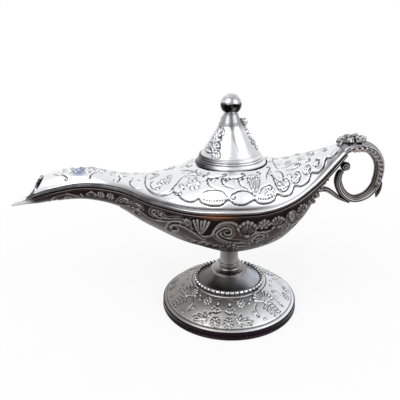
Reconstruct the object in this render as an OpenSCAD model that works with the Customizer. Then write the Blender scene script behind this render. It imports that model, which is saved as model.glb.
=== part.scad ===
// Genie oil lamp: a boat-shaped lamp in two cast shells, with a long pouring spout,
// a scrolled finger ring, a lift-off conical lid and a domed foot on a short stem.
// Origin: on the ground under the stem axis. +Z up, spout towards -X, handle towards +X.

/* [Hull] */
// Reach of the spout tip from the stem axis
spout_reach = 127.5; // [118:0.5:138]
// Reach of the shells from the stem axis to the root of the handle
tail_reach = 60; // [56:0.5:64]
// Width of the shells at the widest place, without the rim
hull_width = 72; // [64:0.5:80]
// Height of the rim over the ground, above the stem
rim_height = 71.7; // [68:0.1:76]
// Depth of the lower shell below the rim, above the stem
keel_depth = 34.3; // [32:0.1:36.5]
// Rise of the upper shell above the rim, above the stem
crown_rise = 19.5; // [18:0.1:21]
// Wall of both shells
shell_wall = 1.6; // [1.2:0.1:2]
// How far the lip of the upper shell stands out over the seam
rim_lip = 1.2; // [0.8:0.1:1.6]
// Height of the lip of the upper shell
rim_lip_height = 1.2; // [0.9:0.1:1.5]
// How far the bead of the lower shell stands out under the seam
rim_bead = 1; // [0.7:0.1:1.3]
// Height of the dark groove between lip and bead
rim_groove = 0.9; // [0.6:0.1:1.2]

/* [Spout] */
// Distance of the foot of the mouth from the spout tip
mouth_setback = 10.5; // [8:0.5:13]
// How far the top of the mouth leans back
mouth_lean = 10; // [7:0.5:13]
// Height of the raised lip round the mouth
mouth_lip = 0.5; // [0.3:0.1:0.8]

/* [Neck] */
// Height of the lid seat above the rim
neck_rise = 16.5; // [16:0.1:17]
// Bore of the filling neck
neck_bore = 30; // [27:0.5:31]
// Wall of the neck collar
neck_wall = 2; // [1.6:0.1:2.2]
// Height of the neck collar
neck_height = 6.5; // [5:0.5:8]

/* [Lid] */
// Diameter of the lid across its bevelled flange
lid_width = 39; // [38:0.5:42]
// Height of the bevelled flange
flange_height = 5; // [4:0.1:6]
// Diameter of the cone where it stands on the flange
cone_width = 32.6; // [31.5:0.1:34]
// Height of the cone
cone_height = 21.4; // [19:0.1:24]
// Diameter of the cone under the ball
cone_tip_width = 7.8; // [7.4:0.1:9]
// Wall of the lid
lid_wall = 1.4; // [1.1:0.1:1.7]
// Length of the spigot below the seat
spigot_length = 5.5; // [4:0.5:7]
// Diameter of the ball on top
ball_width = 11.2; // [10.5:0.1:12.5]

/* [Handle] */
// Width of the finger ring, across the centre of its strap
ring_width = 21; // [19:0.5:23]
// Height of the finger ring, over the centre of its strap
ring_height = 30; // [28:0.5:31.5]
// Distance of the ring's centre behind the root of the handle
ring_ahead = 9.8; // [9:0.1:11]
// Height of the ring's centre over the rim at the stem
ring_above = 10.8; // [10:0.1:11.6]
// Half width of the strap at the root of the handle
strap_root = 8.6; // [7.6:0.1:9.4]
// Half thickness of the strap at the top of the ring
strap_half = 2.6; // [2.2:0.1:3]
// Half width of the strap at its scrolled end
strap_end = 2.4; // [2:0.1:3]
// Diameter of the ball that ends the scroll
curl_width = 5.4; // [4:0.1:6]
// Radius of one petal of the rosette on the handle
petal_radius = 1.9; // [1.6:0.1:2.1]
// Height of the tip of the leaf over the outside of the ring
spur_height = 3.2; // [2.6:0.1:3.6]
// Half width of the strut between hull and ring
strut_half_width = 2.5; // [2:0.1:3]
// Half thickness of the strut between hull and ring
strut_half = 1.3; // [1.1:0.1:1.5]

/* [Stem and foot] */
// Diameter of the foot
foot_width = 80; // [74:0.5:88]
// Height of the upright edge of the foot
edge_height = 4.6; // [3.8:0.1:5.5]
// Height of the flat top of the foot
foot_height = 15.7; // [14:0.1:17]
// Diameter of the ring of beads on the foot
bead_circle = 39.4; // [36:0.1:42]
// Diameter of one bead
bead_width = 2.4; // [2:0.1:2.8]
// Wall of the foot
foot_wall = 1.6; // [1.3:0.1:2]
// Height of the plain cone on the foot
flare_height = 5.7; // [5:0.1:6.5]
// Diameter of the stem collar
collar_width = 21.4; // [20:0.1:23]
// Height of the stem collar
collar_height = 6.2; // [5.4:0.1:7.2]
// Diameter of the waisted barrel of the stem
barrel_width = 10.6; // [10:0.1:12]

/* [Fasteners] */
// Diameter of the bolt that ties foot, stem and hull together
bolt_width = 4; // [3:0.5:5]
// Diameter of the stud that holds the ball on the lid
stud_width = 3; // [2.5:0.5:3.5]
// Clearance round the bolt and the stud
bolt_gap = 0.15; // [0.1:0.05:0.25]
// Clearance between pieces that are pressed or soldered together
fit_gap = 0.05; // [0.03:0.01:0.08]
// Clearance round the spigot of the lid
spigot_gap = 0.3; // [0.2:0.05:0.4]

/* [Hidden] */
$fn = 72;

bright = [0.86, 0.87, 0.89];
satin = [0.70, 0.71, 0.73];
dark = [0.36, 0.33, 0.32];
steel = [0.60, 0.62, 0.64];

// The lines of the hull. Each row gives a place along the hull (-1 at the spout tip,
// 0 over the stem, 1 at the handle), the lift of the rim in millimetres, and then
// half width, keel depth and crown rise as shares of their sizes over the stem.
hull_lines = [
    [-1.000, -10.7, 0.033, 0.032, 0.030],
    [-0.940,  -7.1, 0.117, 0.093, 0.190],
    [-0.880,  -3.7, 0.190, 0.166, 0.344],
    [-0.785,   0.6, 0.233, 0.227, 0.430],
    [-0.630,   4.6, 0.267, 0.315, 0.364],
    [-0.470,   3.7, 0.358, 0.414, 0.226],
    [-0.315,   0.5, 0.655, 0.609, 0.374],
    [-0.155,  -0.6, 0.917, 0.845, 0.805],
    [ 0.000,   0.0, 1.000, 1.000, 1.000],
    [ 0.300,   0.2, 0.911, 0.872, 0.846],
    [ 0.530,   3.4, 0.742, 0.551, 0.703],
    [ 0.730,   9.4, 0.500, 0.213, 0.600],
    [ 0.880,  16.2, 0.306, 0.117, 0.420],
    [ 1.000,  23.5, 0.222, 0.067, 0.180]
];
line_places = [for (row = hull_lines) row[0] * (row[0] < 0 ? spout_reach : tail_reach)];
line_lifts = [for (row = hull_lines) row[1]];
line_widths = [for (row = hull_lines) row[2] * hull_width / 2];
line_keels = [for (row = hull_lines) row[3] * keel_depth];
line_crowns = [for (row = hull_lines) row[4] * crown_rise];

hull_steps = 36;
arc_steps = 7;
seam_gap = 0.1;
end_wall = 2;
mouth_place = -spout_reach + mouth_setback;
mouth_blend = 36;
mouth_lip_length = 1.4;
thin_edge = 0.12;

// Heights up the stem axis
flare_top = foot_height + flare_height;
collar_top = flare_top + collar_height;
keel_height = rim_height - keel_depth;
boss_drop = 0.6;
barrel_top = keel_height - boss_drop;
boss_radius = 7.2;
pad_radius = 6.2;
pad_height = 1;
pad_top = keel_height + shell_wall + pad_height;
seat_height = rim_height + neck_rise;
seat_relief = 0.3;
flange_top = seat_height + flange_height;
cone_top = flange_top + cone_height;

// Bolt, stud and their nuts
bolt_radius = bolt_width / 2;
bolt_hole = bolt_radius + bolt_gap;
bolt_head = 2.8;
nut_share = 0.8;
hex_share = 2.02;
washer_share = 2.3;
washer_height = 0.8;
seal_height = 1;
foot_plate_bottom = foot_height - foot_wall;
nut_top = foot_plate_bottom - washer_height;
nut_height = bolt_width * nut_share;
bolt_end = nut_top - nut_height - 1;
stud_radius = stud_width / 2;
stud_hole = stud_radius + bolt_gap;
cone_web = 4;
stud_nut_height = stud_width * nut_share;
stud_end = 1;

// Lid
spigot_radius = neck_bore / 2 - spigot_gap;
spigot_hold = 3;
ball_radius = ball_width / 2;
ball_seat_drop = 0.84;
ball_height = cone_top + ball_radius * ball_seat_drop;
cone_curve = 1.25;
cone_steps = 9;
cone_ring_place = 0.24;
cone_ring_proud = 0.4;

// Foot
foot_radius = foot_width / 2;
bead_radius = bead_width / 2;
bead_seat_inner = bead_circle / 2 - bead_radius;
bead_seat_outer = bead_circle / 2 + bead_radius + 0.2;
edge_ring_width = 3;
dome_inset = 0.8;
dome_bulge = 1.1;
dome_steps = 7;
bead_count = round(PI * bead_circle / (bead_width * 1.1));
bead_steps = 4;
bead_sides = 8;

// Smooth curve through values at given places, with the slope at each place
// taken from its two neighbours
function span(places, s, i = 0) =
    i >= len(places) - 2 || s <= places[i + 1] ? i : span(places, s, i + 1);
function slope_at(places, values, i) =
    let(a = max(i - 1, 0), b = min(i + 1, len(places) - 1))
    (values[b] - values[a]) / (places[b] - places[a]);
function smooth(places, values, s) =
    let(
        i = span(places, s),
        step = places[i + 1] - places[i],
        t = (s - places[i]) / step,
        m0 = slope_at(places, values, i) * step,
        m1 = slope_at(places, values, i + 1) * step
    )
    (2 * t ^ 3 - 3 * t ^ 2 + 1) * values[i] + (t ^ 3 - 2 * t ^ 2 + t) * m0
    + (3 * t ^ 2 - 2 * t ^ 3) * values[i + 1] + (t ^ 3 - t ^ 2) * m1;
function ease(t) = let(c = max(0, min(1, t))) c * c * (3 - 2 * c);

// Lines of the hull at a place x along it
function rim_z(x) = rim_height + smooth(line_places, line_lifts, x);
function half_width(x) = smooth(line_places, line_widths, x);
function keel(x) = smooth(line_places, line_keels, x);
function crown(x) = smooth(line_places, line_crowns, x);
function rim_scale(x) = 0.25 + 0.75 * ease((x + spout_reach) / 28);
function rim_normal(x) =
    let(
        a = max(x - 0.5, -spout_reach),
        b = min(x + 0.5, tail_reach),
        run = b - a,
        rise = rim_z(b) - rim_z(a),
        size = norm([run, rise])
    )
    [-rise / size, run / size];

// A point of the section square to the rim at x: across the hull and up from the rim
function hull_point(x, across, up) =
    let(n = rim_normal(x))
    [x + up * n[0], across, rim_z(x) + up * n[1]];

// One quarter of an outline, from the rim inwards: the moulding, then the curve of the hull
function lower_quarter(x) =
    let(
        k = rim_scale(x),
        w = half_width(x),
        d = keel(x),
        groove = min(rim_groove * k, d * 0.2),
        bead = rim_bead * k,
        foot = min(groove + bead * 1.7, d * 0.75),
        start = asin(foot / d)
    )
    concat(
        [
            [w, 0],
            [w, -groove],
            [w + bead * 0.8, -groove - (foot - groove) * 0.15],
            [w + bead, -groove - (foot - groove) * 0.5],
            [w + bead * 0.6, -groove - (foot - groove) * 0.85]
        ],
        [for (j = [0:arc_steps]) let(a = start + (90 - start) * j / arc_steps) [w * cos(a), -d * sin(a)]]
    );
function upper_quarter(x, proud) =
    let(
        k = rim_scale(x),
        w = half_width(x) + proud,
        h = crown(x) + proud,
        lip = min(rim_lip_height * k, h * 0.3),
        start = asin(min(0.8, lip * 1.7 / h))
    )
    concat(
        [
            [w + rim_lip * k * 0.85, 0],
            [w + rim_lip * k, lip * 0.5],
            [w + rim_lip * k * 0.8, lip],
            [w + rim_lip * k * 0.2, lip * 1.25]
        ],
        [for (j = [0:arc_steps]) let(a = start + (90 - start) * j / arc_steps) [w * cos(a), h * sin(a)]]
    );
function inner_quarter(w, h, count) =
    [for (j = [0:count - 1]) let(a = 90 * j / (count - 1)) [w * cos(a), h * sin(a)]];
function whole(quarter) =
    concat(
        quarter,
        [for (j = [len(quarter) - 2:-1:0]) [-quarter[j][0], quarter[j][1]]]
    );
function reversed(list) = [for (i = [len(list) - 1:-1:0]) list[i]];

// Faces of a body that is lofted through loops of equal length. Its ends are closed
// by a strip of faces between the first and the second half of the loop.
function quad(a, b, c, d) = [[a, b, c], [a, c, d]];
function side_faces(rows, count) =
    [for (i = [0:rows - 2], j = [0:count - 1])
        let(k = (j + 1) % count)
        each quad(i * count + j, i * count + k, (i + 1) * count + k, (i + 1) * count + j)];
function end_faces(first, count) =
    [for (j = [0:count / 2 - 2])
        each quad(first + j, first + count - 1 - j, first + count - 2 - j, first + j + 1)];
function flipped(faces) = [for (f = faces) [f[2], f[1], f[0]]];
module loft(loops, flip = false) {
    count = len(loops[0]);
    rows = len(loops);
    faces = concat(
        side_faces(rows, count),
        end_faces(0, count),
        flipped(end_faces((rows - 1) * count, count))
    );
    polyhedron(
        points = [for (loop = loops) each loop],
        faces = flip ? flipped(faces) : faces,
        convexity = 8
    );
}

// Foot: a thin domed casting, open below
function dome_radius(t) = bead_seat_outer + (foot_radius - dome_inset - bead_seat_outer) * t;
function dome_z(t) = foot_height + (edge_height - foot_height) * t + dome_bulge * sin(180 * t);
module foot_base() {
    outer = [for (i = [0:dome_steps]) let(t = i / dome_steps) [dome_radius(t), dome_z(t)]];
    inner = [for (i = [dome_steps:-1:0])
        let(t = i / dome_steps)
        [dome_radius(t) - foot_wall * (0.5 + 0.5 * t), max(edge_height, dome_z(t) - foot_wall)]];
    color(satin)
    rotate_extrude()
    polygon(concat(
        [[bolt_hole, foot_plate_bottom], [bolt_hole, foot_height]],
        outer,
        inner
    ));
}

// Upright edge of the foot, with a bead at the top and one at the ground
module foot_edge_moulding() {
    inside = foot_radius - edge_ring_width;
    color(dark)
    rotate_extrude()
    polygon([
        [inside, 0],
        [foot_radius - 0.3, 0],
        [foot_radius, 0.4],
        [foot_radius, 1],
        [foot_radius - 0.4, 1.4],
        [foot_radius - 0.6, edge_height - 1],
        [foot_radius - 0.2, edge_height - 0.7],
        [foot_radius - 0.2, edge_height - 0.2],
        [foot_radius - 0.5, edge_height],
        [inside, edge_height]
    ]);
}

// Ring of beads round the foot of the cone
module foot_bead_ring() {
    rows = bead_count * bead_steps;
    neck = 0.45;
    points = [for (i = [0:rows - 1], j = [0:bead_sides - 1])
        let(
            turn = 360 * i / rows,
            swell = neck + (1 - neck) * pow(abs(sin(180 * i / bead_steps)), 0.7),
            a = 360 * (j + 0.5) / bead_sides,
            r = bead_circle / 2 + bead_radius * swell * cos(a),
            z = foot_height + bead_radius * (1 + swell * sin(a))
        )
        [r * cos(turn), r * sin(turn), z]];
    faces = [for (i = [0:rows - 1], j = [0:bead_sides - 1])
        let(k = (i + 1) % rows, l = (j + 1) % bead_sides)
        each quad(i * bead_sides + j, k * bead_sides + j, k * bead_sides + l, i * bead_sides + l)];
    color(bright)
    polyhedron(points = points, faces = flipped(faces), convexity = 6);
}

// Plain polished cone between foot and collar
module stem_flare() {
    bottom = bead_seat_inner - 0.2;
    top = collar_width / 2 - 0.4;
    steps = 6;
    edge = 1;
    color(satin)
    rotate_extrude()
    polygon(concat(
        [[bolt_hole, foot_height], [bottom, foot_height]],
        [for (i = [0:steps])
            let(t = i / steps)
            [bottom + (top - bottom) * t, foot_height + edge + (flare_height - edge) * pow(t, 1.5)]],
        [[bolt_hole, flare_top]]
    ));
}

// Stepped collar under the barrel
module stem_collar() {
    r = collar_width / 2;
    neck = barrel_width / 2 + 0.8;
    h = collar_height;
    color(satin)
    rotate_extrude()
    translate([0, flare_top])
    polygon([
        [bolt_hole, 0],
        [r - 0.4, 0],
        [r, h * 0.09],
        [r - 0.1, h * 0.2],
        [r - 0.8, h * 0.3],
        [r - 1.8, h * 0.36],
        [neck + 0.8, h * 0.42],
        [neck + 0.4, h * 0.5],
        [neck + 0.4, h * 0.6],
        [neck - 0.1, h * 0.66],
        [neck - 0.1, h * 0.82],
        [neck + 0.3, h * 0.88],
        [neck + 0.3, h * 0.96],
        [neck + 0.1, h],
        [bolt_hole, h]
    ]);
}

// Waisted barrel that carries the hull
module stem_barrel() {
    height = barrel_top - collar_top;
    end = 0.4;
    steps = 6;
    color(satin)
    rotate_extrude()
    polygon(concat(
        [[bolt_hole, collar_top]],
        [for (i = [0:steps])
            let(t = i / steps)
            [barrel_width / 2 + end * pow(abs(2 * t - 1), 3), collar_top + height * t]],
        [[bolt_hole, barrel_top]]
    ));
}

module hexagon(radius, height) {
    cylinder(r = radius, h = height, $fn = 6);
}

// Bolt from inside the oil well down through hull, stem and foot
module tie_bolt() {
    head_bottom = pad_top + seal_height;
    color(steel)
    union() {
        translate([0, 0, bolt_end])
        cylinder(r = bolt_radius, h = head_bottom - bolt_end + bolt_head / 2, $fn = 32);
        translate([0, 0, head_bottom])
        hexagon(bolt_radius * hex_share, bolt_head);
    }
}

module washer(bottom, outside, height) {
    translate([0, 0, bottom])
    difference() {
        cylinder(r = outside, h = height, $fn = 48);
        translate([0, 0, -1])
        cylinder(r = bolt_hole, h = height + 2, $fn = 32);
    }
}

// Soft washer that keeps the oil from running down the bolt
module seal_washer() {
    color([0.16, 0.15, 0.14])
    washer(pad_top, min(bolt_radius * washer_share + 0.8, pad_radius), seal_height);
}

module foot_washer() {
    color(steel)
    washer(foot_plate_bottom - washer_height, bolt_radius * washer_share, washer_height);
}

module foot_nut() {
    color(steel)
    translate([0, 0, nut_top - nut_height])
    difference() {
        hexagon(bolt_radius * hex_share, nut_height);
        translate([0, 0, -1])
        cylinder(r = bolt_radius + fit_gap, h = nut_height + 2, $fn = 32);
    }
}

// How much of the hollow is left at x: it closes to a solid wall at the handle
function hollow(x) = ease((tail_reach - end_wall - x) / 6);

// Lower shell: hull and open trough of the spout, with a boss for the stem
module lower_shell() {
    loops = [for (i = [0:hull_steps])
        let(
            t = i / hull_steps,
            x = -spout_reach + (spout_reach + tail_reach) * t,
            outer = whole(lower_quarter(x)),
            w = max(half_width(x) - shell_wall, half_width(x) * 0.35),
            d = max(thin_edge, (keel(x) - shell_wall) * hollow(x)),
            inner = whole(inner_quarter(w, -d, (len(outer) + 1) / 2))
        )
        [for (p = concat(outer, reversed(inner))) hull_point(x, p[0], p[1])]];
    color(dark)
    difference() {
        union() {
            loft(loops);
            translate([0, 0, barrel_top])
            cylinder(r = boss_radius, h = boss_drop + shell_wall / 2);
            translate([0, 0, keel_height + shell_wall / 2])
            cylinder(r = pad_radius, h = pad_top - keel_height - shell_wall / 2);
        }
        translate([0, 0, barrel_top - 1])
        cylinder(r = bolt_hole, h = pad_top - barrel_top + 2, $fn = 32);
    }
}

// Upper shell: shoulders, tube of the spout and its leaning mouth
function lean(x) = mouth_lean * pow(max(0, 1 - (x - mouth_place) / mouth_blend), 2);
module upper_shell() {
    places = concat(
        [mouth_place, mouth_place + mouth_lip_length, mouth_place + mouth_lip_length + 0.5],
        [for (i = [1:hull_steps])
            mouth_place + mouth_lip_length + 0.5
            + (tail_reach - mouth_place - mouth_lip_length - 0.5) * i / hull_steps]
    );
    loops = [for (s = places)
        let(
            proud = s < mouth_place + mouth_lip_length + 0.1 ? mouth_lip : 0,
            count = arc_steps + 5,
            sides = 2 * count - 1
        )
        concat(
            [for (j = [0:sides - 1])
                let(
                    back = sin(180 * j / (sides - 1)),
                    x = s + lean(s) * back,
                    p = whole(upper_quarter(x, proud))[j]
                )
                hull_point(x, p[0], p[1] + seam_gap)],
            [for (j = [sides - 1:-1:0])
                let(
                    back = sin(180 * j / (sides - 1)),
                    x = s + lean(s) * back,
                    w = half_width(x) - shell_wall,
                    h = max(thin_edge, (crown(x) - shell_wall) * hollow(x)),
                    p = whole(inner_quarter(w, h, count))[j]
                )
                hull_point(x, p[0], p[1] + seam_gap)]
        )];
    land_radius = lid_width / 2 + 0.7;
    color(bright)
    difference() {
        loft(loops, flip = true);
        translate([0, 0, rim_height + 1])
        cylinder(r = neck_bore / 2 + neck_wall + fit_gap, h = crown_rise + 10);
        translate([0, 0, seat_height - seat_relief])
        cylinder(r = land_radius, h = crown_rise);
    }
}

// Collar of the filling neck, which carries the lid
module neck_collar() {
    color(bright)
    translate([0, 0, seat_height - neck_height])
    difference() {
        cylinder(d = neck_bore + 2 * neck_wall, h = neck_height);
        translate([0, 0, -1])
        cylinder(d = neck_bore, h = neck_height + 2);
    }
}

// Handle: a strap that rises out of the hull, rounds the finger ring and scrolls
// back in. Each row gives a point of its centre line, as shares of half the ring
// from the ring's centre, and then its half width and half thickness as shares of theirs.
ring_x = tail_reach + ring_ahead;
ring_z = rim_height + ring_above;
root_normal = rim_normal(tail_reach);
root_width = half_width(tail_reach);
root_lift = (crown(tail_reach) - keel(tail_reach)) / 2;
root_half = (crown(tail_reach) + keel(tail_reach)) / 2;
root_point = [
    tail_reach + root_lift * root_normal[0],
    rim_z(tail_reach) + root_lift * root_normal[1]
];
root_heading = [root_normal[1], -root_normal[0]];
root_gap = 0.12;
root_turn = ring_ahead * [0.18, 0.13];
ring_lines = [
    [-0.60,  1.00, 0.92, 1.00],
    [ 0.00,  1.01, 0.84, 0.90],
    [ 0.52,  0.84, 0.68, 0.88],
    [ 0.91,  0.46, 0.54, 0.87],
    [ 1.00,  0.00, 0.45, 0.83],
    [ 0.86, -0.48, 0.43, 0.79],
    [ 0.45, -0.86, 0.42, 0.67],
    [-0.17, -1.00, 0.41, 0.64],
    [-0.72, -0.79, 0.40, 0.68],
    [-1.02, -0.38, 0.38, 0.66],
    [-1.00, -0.06, 0.34, 0.56],
    [-0.87,  0.08, 0.30, 0.46]
];
strap_points = concat(
    [root_point + root_gap * root_heading, root_point + root_turn],
    [for (row = ring_lines) [ring_x + row[0] * ring_width / 2, ring_z + row[1] * ring_height / 2]]
);
strap_widths = concat(
    [strap_root, strap_root],
    [for (row = ring_lines) max(strap_end, row[2] * strap_root)]
);
strap_halves = concat([root_half, root_half], [for (row = ring_lines) row[3] * strap_half]);
strap_steps = 44;
strap_sides = 16;

// A point of a path at s, where s counts the path's points
function path_places(points) = [for (i = [0:len(points) - 1]) i];
function path_point(points, s) =
    let(places = path_places(points))
    [for (k = [0, 1]) smooth(places, [for (p = points) p[k]], s)];
function path_normal(points, s) =
    let(
        last = len(points) - 1,
        a = path_point(points, max(0, s - 0.05)),
        b = path_point(points, min(last, s + 0.05)),
        size = norm(b - a)
    )
    [-(b - a)[1] / size, (b - a)[0] / size];

// Flat strap section with rounded edges; two shallow grooves run along each face.
// A flatness of 0 leaves an ellipse, and 1 gives the full strap. A strap with a root
// normal starts as an ellipse, square to that normal.
function strap_section(w, t, groove, flatness) =
    [for (j = [0:strap_sides - 1])
        let(
            a = 360 * (j + 0.5) / strap_sides,
            c = cos(a),
            s = sin(a),
            dip = 1 - groove * flatness * pow(sin(2 * a), 6)
        )
        [
            w * sign(c) * pow(abs(c), 1 - 0.35 * flatness),
            t * sign(s) * pow(abs(s), 1 - 0.5 * flatness) * dip
        ]];
module strap(points, widths, halves, steps, groove = 0.22, root = undef) {
    last = len(points) - 1;
    places = path_places(points);
    loops = [for (i = [0:steps])
        let(
            s = last * i / steps,
            p = path_point(points, s),
            n = i == 0 && root != undef ? root : path_normal(points, s),
            w = smooth(places, widths, s),
            t = smooth(places, halves, s),
            flatness = root != undef ? ease(s / 2.5) : 1
        )
        [for (q = strap_section(w, t, groove, flatness))
            [p[0] + q[1] * n[0], q[0], p[1] + q[1] * n[1]]]];
    loft(loops, flip = true);
}
module handle_ring() {
    color(dark)
    strap(strap_points, strap_widths, strap_halves, strap_steps, root = root_normal);
}

// Ball that ends the scroll
strap_tip = strap_points[len(strap_points) - 1];
tip_normal = path_normal(strap_points, len(strap_points) - 1);
tip_heading = [tip_normal[1], -tip_normal[0]];
module handle_curl_ball() {
    centre = strap_tip + (curl_width / 2 + fit_gap) * tip_heading;
    color(dark)
    translate([centre[0], 0, centre[1]])
    sphere(d = curl_width, $fn = 32);
}

// Rosette on top of the handle with a leaf towards the hull, on a flat back
crest_place = 2.3;
crest_gap = 0.3;
module handle_crest() {
    base = path_point(strap_points, crest_place);
    up = path_normal(strap_points, crest_place);
    lift = smooth(path_places(strap_points), strap_halves, crest_place) + crest_gap;
    petals = 6;
    spread = 1.84 * petal_radius;
    cut = 4.2 * petal_radius;
    color(bright)
    translate([base[0] + up[0] * lift, 0, base[1] + up[1] * lift])
    rotate([0, atan2(up[0], up[1]), 0])
    intersection() {
        union() {
            sphere(r = 1.37 * petal_radius, $fn = 24);
            for (i = [0:petals - 1])
                rotate([0, 0, 360 * i / petals])
                translate([spread, 0, 0])
                sphere(r = petal_radius, $fn = 24);
            translate([-spread - petal_radius, 0, 0])
            sphere(r = 0.8 * petal_radius, $fn = 24);
        }
        translate([-cut, -cut, 0])
        cube([2 * cut, 2 * cut, cut]);
    }
}

// Leaf tip on the outside of the ring. Each row gives a place along the strap, and then
// the height of the leaf's centre line over it, the leaf's half width and half thickness,
// as shares of the height of its tip.
spur_lines = [
    [6.60, 0.17, 0.50, 0.09],
    [6.95, 0.30, 0.75, 0.20],
    [7.30, 0.50, 0.70, 0.28],
    [7.60, 0.95, 0.16, 0.09]
];
module handle_spur() {
    points = [for (row = spur_lines)
        let(rise = smooth(path_places(strap_points), strap_halves, row[0]) + row[1] * spur_height)
        path_point(strap_points, row[0]) + rise * path_normal(strap_points, row[0])];
    widths = [for (row = spur_lines) row[2] * spur_height];
    halves = [for (row = spur_lines) row[3] * spur_height];
    color(dark)
    strap(points, widths, halves, 10, 0);
}

// Scrolled strut from the tail of the hull to the ring. Its foot is at a share of the tail,
// and the other two places count the points of the ring's strap.
strut_gap = 0.45;
strut_foot_share = 0.71;
strut_joint_place = 9.95;
strut_end_place = 9.2;
function beside_ring(place, half) =
    let(rise = smooth(path_places(strap_points), strap_halves, place) + half + strut_gap)
    path_point(strap_points, place) + rise * path_normal(strap_points, place);
module handle_strut() {
    foot_place = strut_foot_share * tail_reach;
    foot_up = rim_normal(foot_place);
    drop = keel(foot_place) + strut_half;
    start = [foot_place - drop * foot_up[0], rim_z(foot_place) - drop * foot_up[1]];
    halves = strut_half * [1, 1, 0.8, 0.3];
    widths = strut_half_width * [0.96, 1, 0.92, 0.64];
    joint = beside_ring(strut_joint_place, halves[2]);
    end = beside_ring(strut_end_place, halves[3]);
    points = [
        start,
        start + [0.45 * (joint[0] - start[0]), 0.35 * strut_half],
        joint,
        end
    ];
    color(dark)
    strap(points, widths, halves, 12, 0.2);
}

// Lid: spigot, bevelled flange and hollow cone
module lid_spigot() {
    color(satin)
    translate([0, 0, seat_height - spigot_length])
    difference() {
        cylinder(r = spigot_radius, h = spigot_length + spigot_hold);
        translate([0, 0, -1])
        cylinder(r = spigot_radius - lid_wall, h = spigot_length + spigot_hold + 2);
    }
}

module lid_flange() {
    inside = spigot_radius + fit_gap;
    brim = lid_width / 2;
    foot = cone_width / 2;
    h = flange_height;
    color(bright)
    rotate_extrude()
    translate([0, seat_height])
    polygon([
        [inside, 0],
        [brim - 0.3, 0],
        [brim, 0.4],
        [foot + 0.9, h * 0.78],
        [foot + 0.5, h * 0.8],
        [foot + 0.5, h * 0.84],
        [foot + 0.8, h * 0.88],
        [foot + 0.7, h * 0.96],
        [foot + 0.4, h],
        [inside, h]
    ]);
}

function cone_radius(t) =
    cone_tip_width / 2 + (cone_width - cone_tip_width) / 2 * pow(1 - t, cone_curve);
function cone_z(t) = flange_top + cone_height * t;
module lid_cone() {
    web = 1 - cone_web / cone_height;
    ring_t = 1 - cone_ring_place;
    outer_low = [for (i = [0:cone_steps - 3])
        let(t = i / cone_steps)
        [cone_radius(t), cone_z(t)]];
    outer_ring = [
        [cone_radius(ring_t - 0.035), cone_z(ring_t - 0.035)],
        [cone_radius(ring_t - 0.02) + cone_ring_proud, cone_z(ring_t - 0.02)],
        [cone_radius(ring_t + 0.02) + cone_ring_proud, cone_z(ring_t + 0.02)],
        [cone_radius(ring_t + 0.035), cone_z(ring_t + 0.035)]
    ];
    outer_high = [[cone_radius(8 / cone_steps), cone_z(8 / cone_steps)], [cone_radius(1), cone_z(1)]];
    inner = [for (i = [cone_steps - 1:-1:0])
        let(t = web * i / (cone_steps - 1))
        [cone_radius(t) - lid_wall, cone_z(t)]];
    color(bright)
    rotate_extrude()
    polygon(concat(
        outer_low,
        outer_ring,
        outer_high,
        [[stud_hole, cone_z(1)], [stud_hole, cone_z(web)]],
        inner
    ));
}

module finial_ball() {
    color(bright)
    difference() {
        translate([0, 0, ball_height])
        sphere(r = ball_radius);
        translate([0, 0, cone_top - ball_radius])
        cylinder(r = ball_radius, h = ball_radius);
        translate([0, 0, cone_top - 1])
        cylinder(r = stud_hole, h = ball_height - cone_top + 1, $fn = 32);
    }
}

module finial_stud() {
    bottom = cone_top - cone_web - stud_nut_height - stud_end;
    color(steel)
    translate([0, 0, bottom])
    cylinder(r = stud_radius, h = ball_height - bottom - 0.5, $fn = 32);
}

module finial_nut() {
    color(steel)
    translate([0, 0, cone_top - cone_web - stud_nut_height])
    difference() {
        hexagon(stud_radius * hex_share, stud_nut_height);
        translate([0, 0, -1])
        cylinder(r = stud_radius + fit_gap, h = stud_nut_height + 2, $fn = 32);
    }
}

foot_base();
foot_edge_moulding();
foot_bead_ring();
stem_flare();
stem_collar();
stem_barrel();
tie_bolt();
seal_washer();
foot_washer();
foot_nut();
lower_shell();
upper_shell();
neck_collar();
handle_ring();
handle_curl_ball();
handle_crest();
handle_spur();
handle_strut();
lid_spigot();
lid_flange();
lid_cone();
finial_ball();
finial_stud();
finial_nut();
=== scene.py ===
"""Looks of a genie oil lamp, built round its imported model.

The shells, the foot with its edge, the lid's cone and flange and the handle are cast again
here in fine meshes, with their raised ornament as real relief. Lengths below are in
millimetres and become metres only when a mesh is made.
"""
import math

import bpy
import numpy as np
from mathutils import Matrix, Vector


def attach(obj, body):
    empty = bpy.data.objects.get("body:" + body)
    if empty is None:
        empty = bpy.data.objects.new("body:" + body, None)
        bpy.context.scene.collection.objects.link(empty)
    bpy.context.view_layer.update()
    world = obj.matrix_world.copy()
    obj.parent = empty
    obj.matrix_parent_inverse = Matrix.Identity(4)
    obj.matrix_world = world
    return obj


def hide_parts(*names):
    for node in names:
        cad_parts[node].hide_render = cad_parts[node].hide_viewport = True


MM = 0.001
FULL_TURN = 2 * math.pi
QUARTER_TURN = math.pi / 2
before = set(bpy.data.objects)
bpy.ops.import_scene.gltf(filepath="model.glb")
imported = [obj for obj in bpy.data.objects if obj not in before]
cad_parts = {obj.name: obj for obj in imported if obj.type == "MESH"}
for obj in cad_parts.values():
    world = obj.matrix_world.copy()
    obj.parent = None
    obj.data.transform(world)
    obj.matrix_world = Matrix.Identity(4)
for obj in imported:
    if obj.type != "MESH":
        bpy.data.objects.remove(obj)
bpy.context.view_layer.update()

# Sizes of the hull, as in the part
SPOUT_REACH = 127.5
TAIL_REACH = 60.0
HULL_WIDTH = 72.0
RIM_HEIGHT = 71.7
KEEL_DEPTH = 34.3
CROWN_RISE = 19.5
SHELL_WALL = 1.6
RIM_LIP = 1.2
RIM_LIP_HEIGHT = 1.2
RIM_BEAD = 1.0
RIM_GROOVE = 0.9
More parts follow.
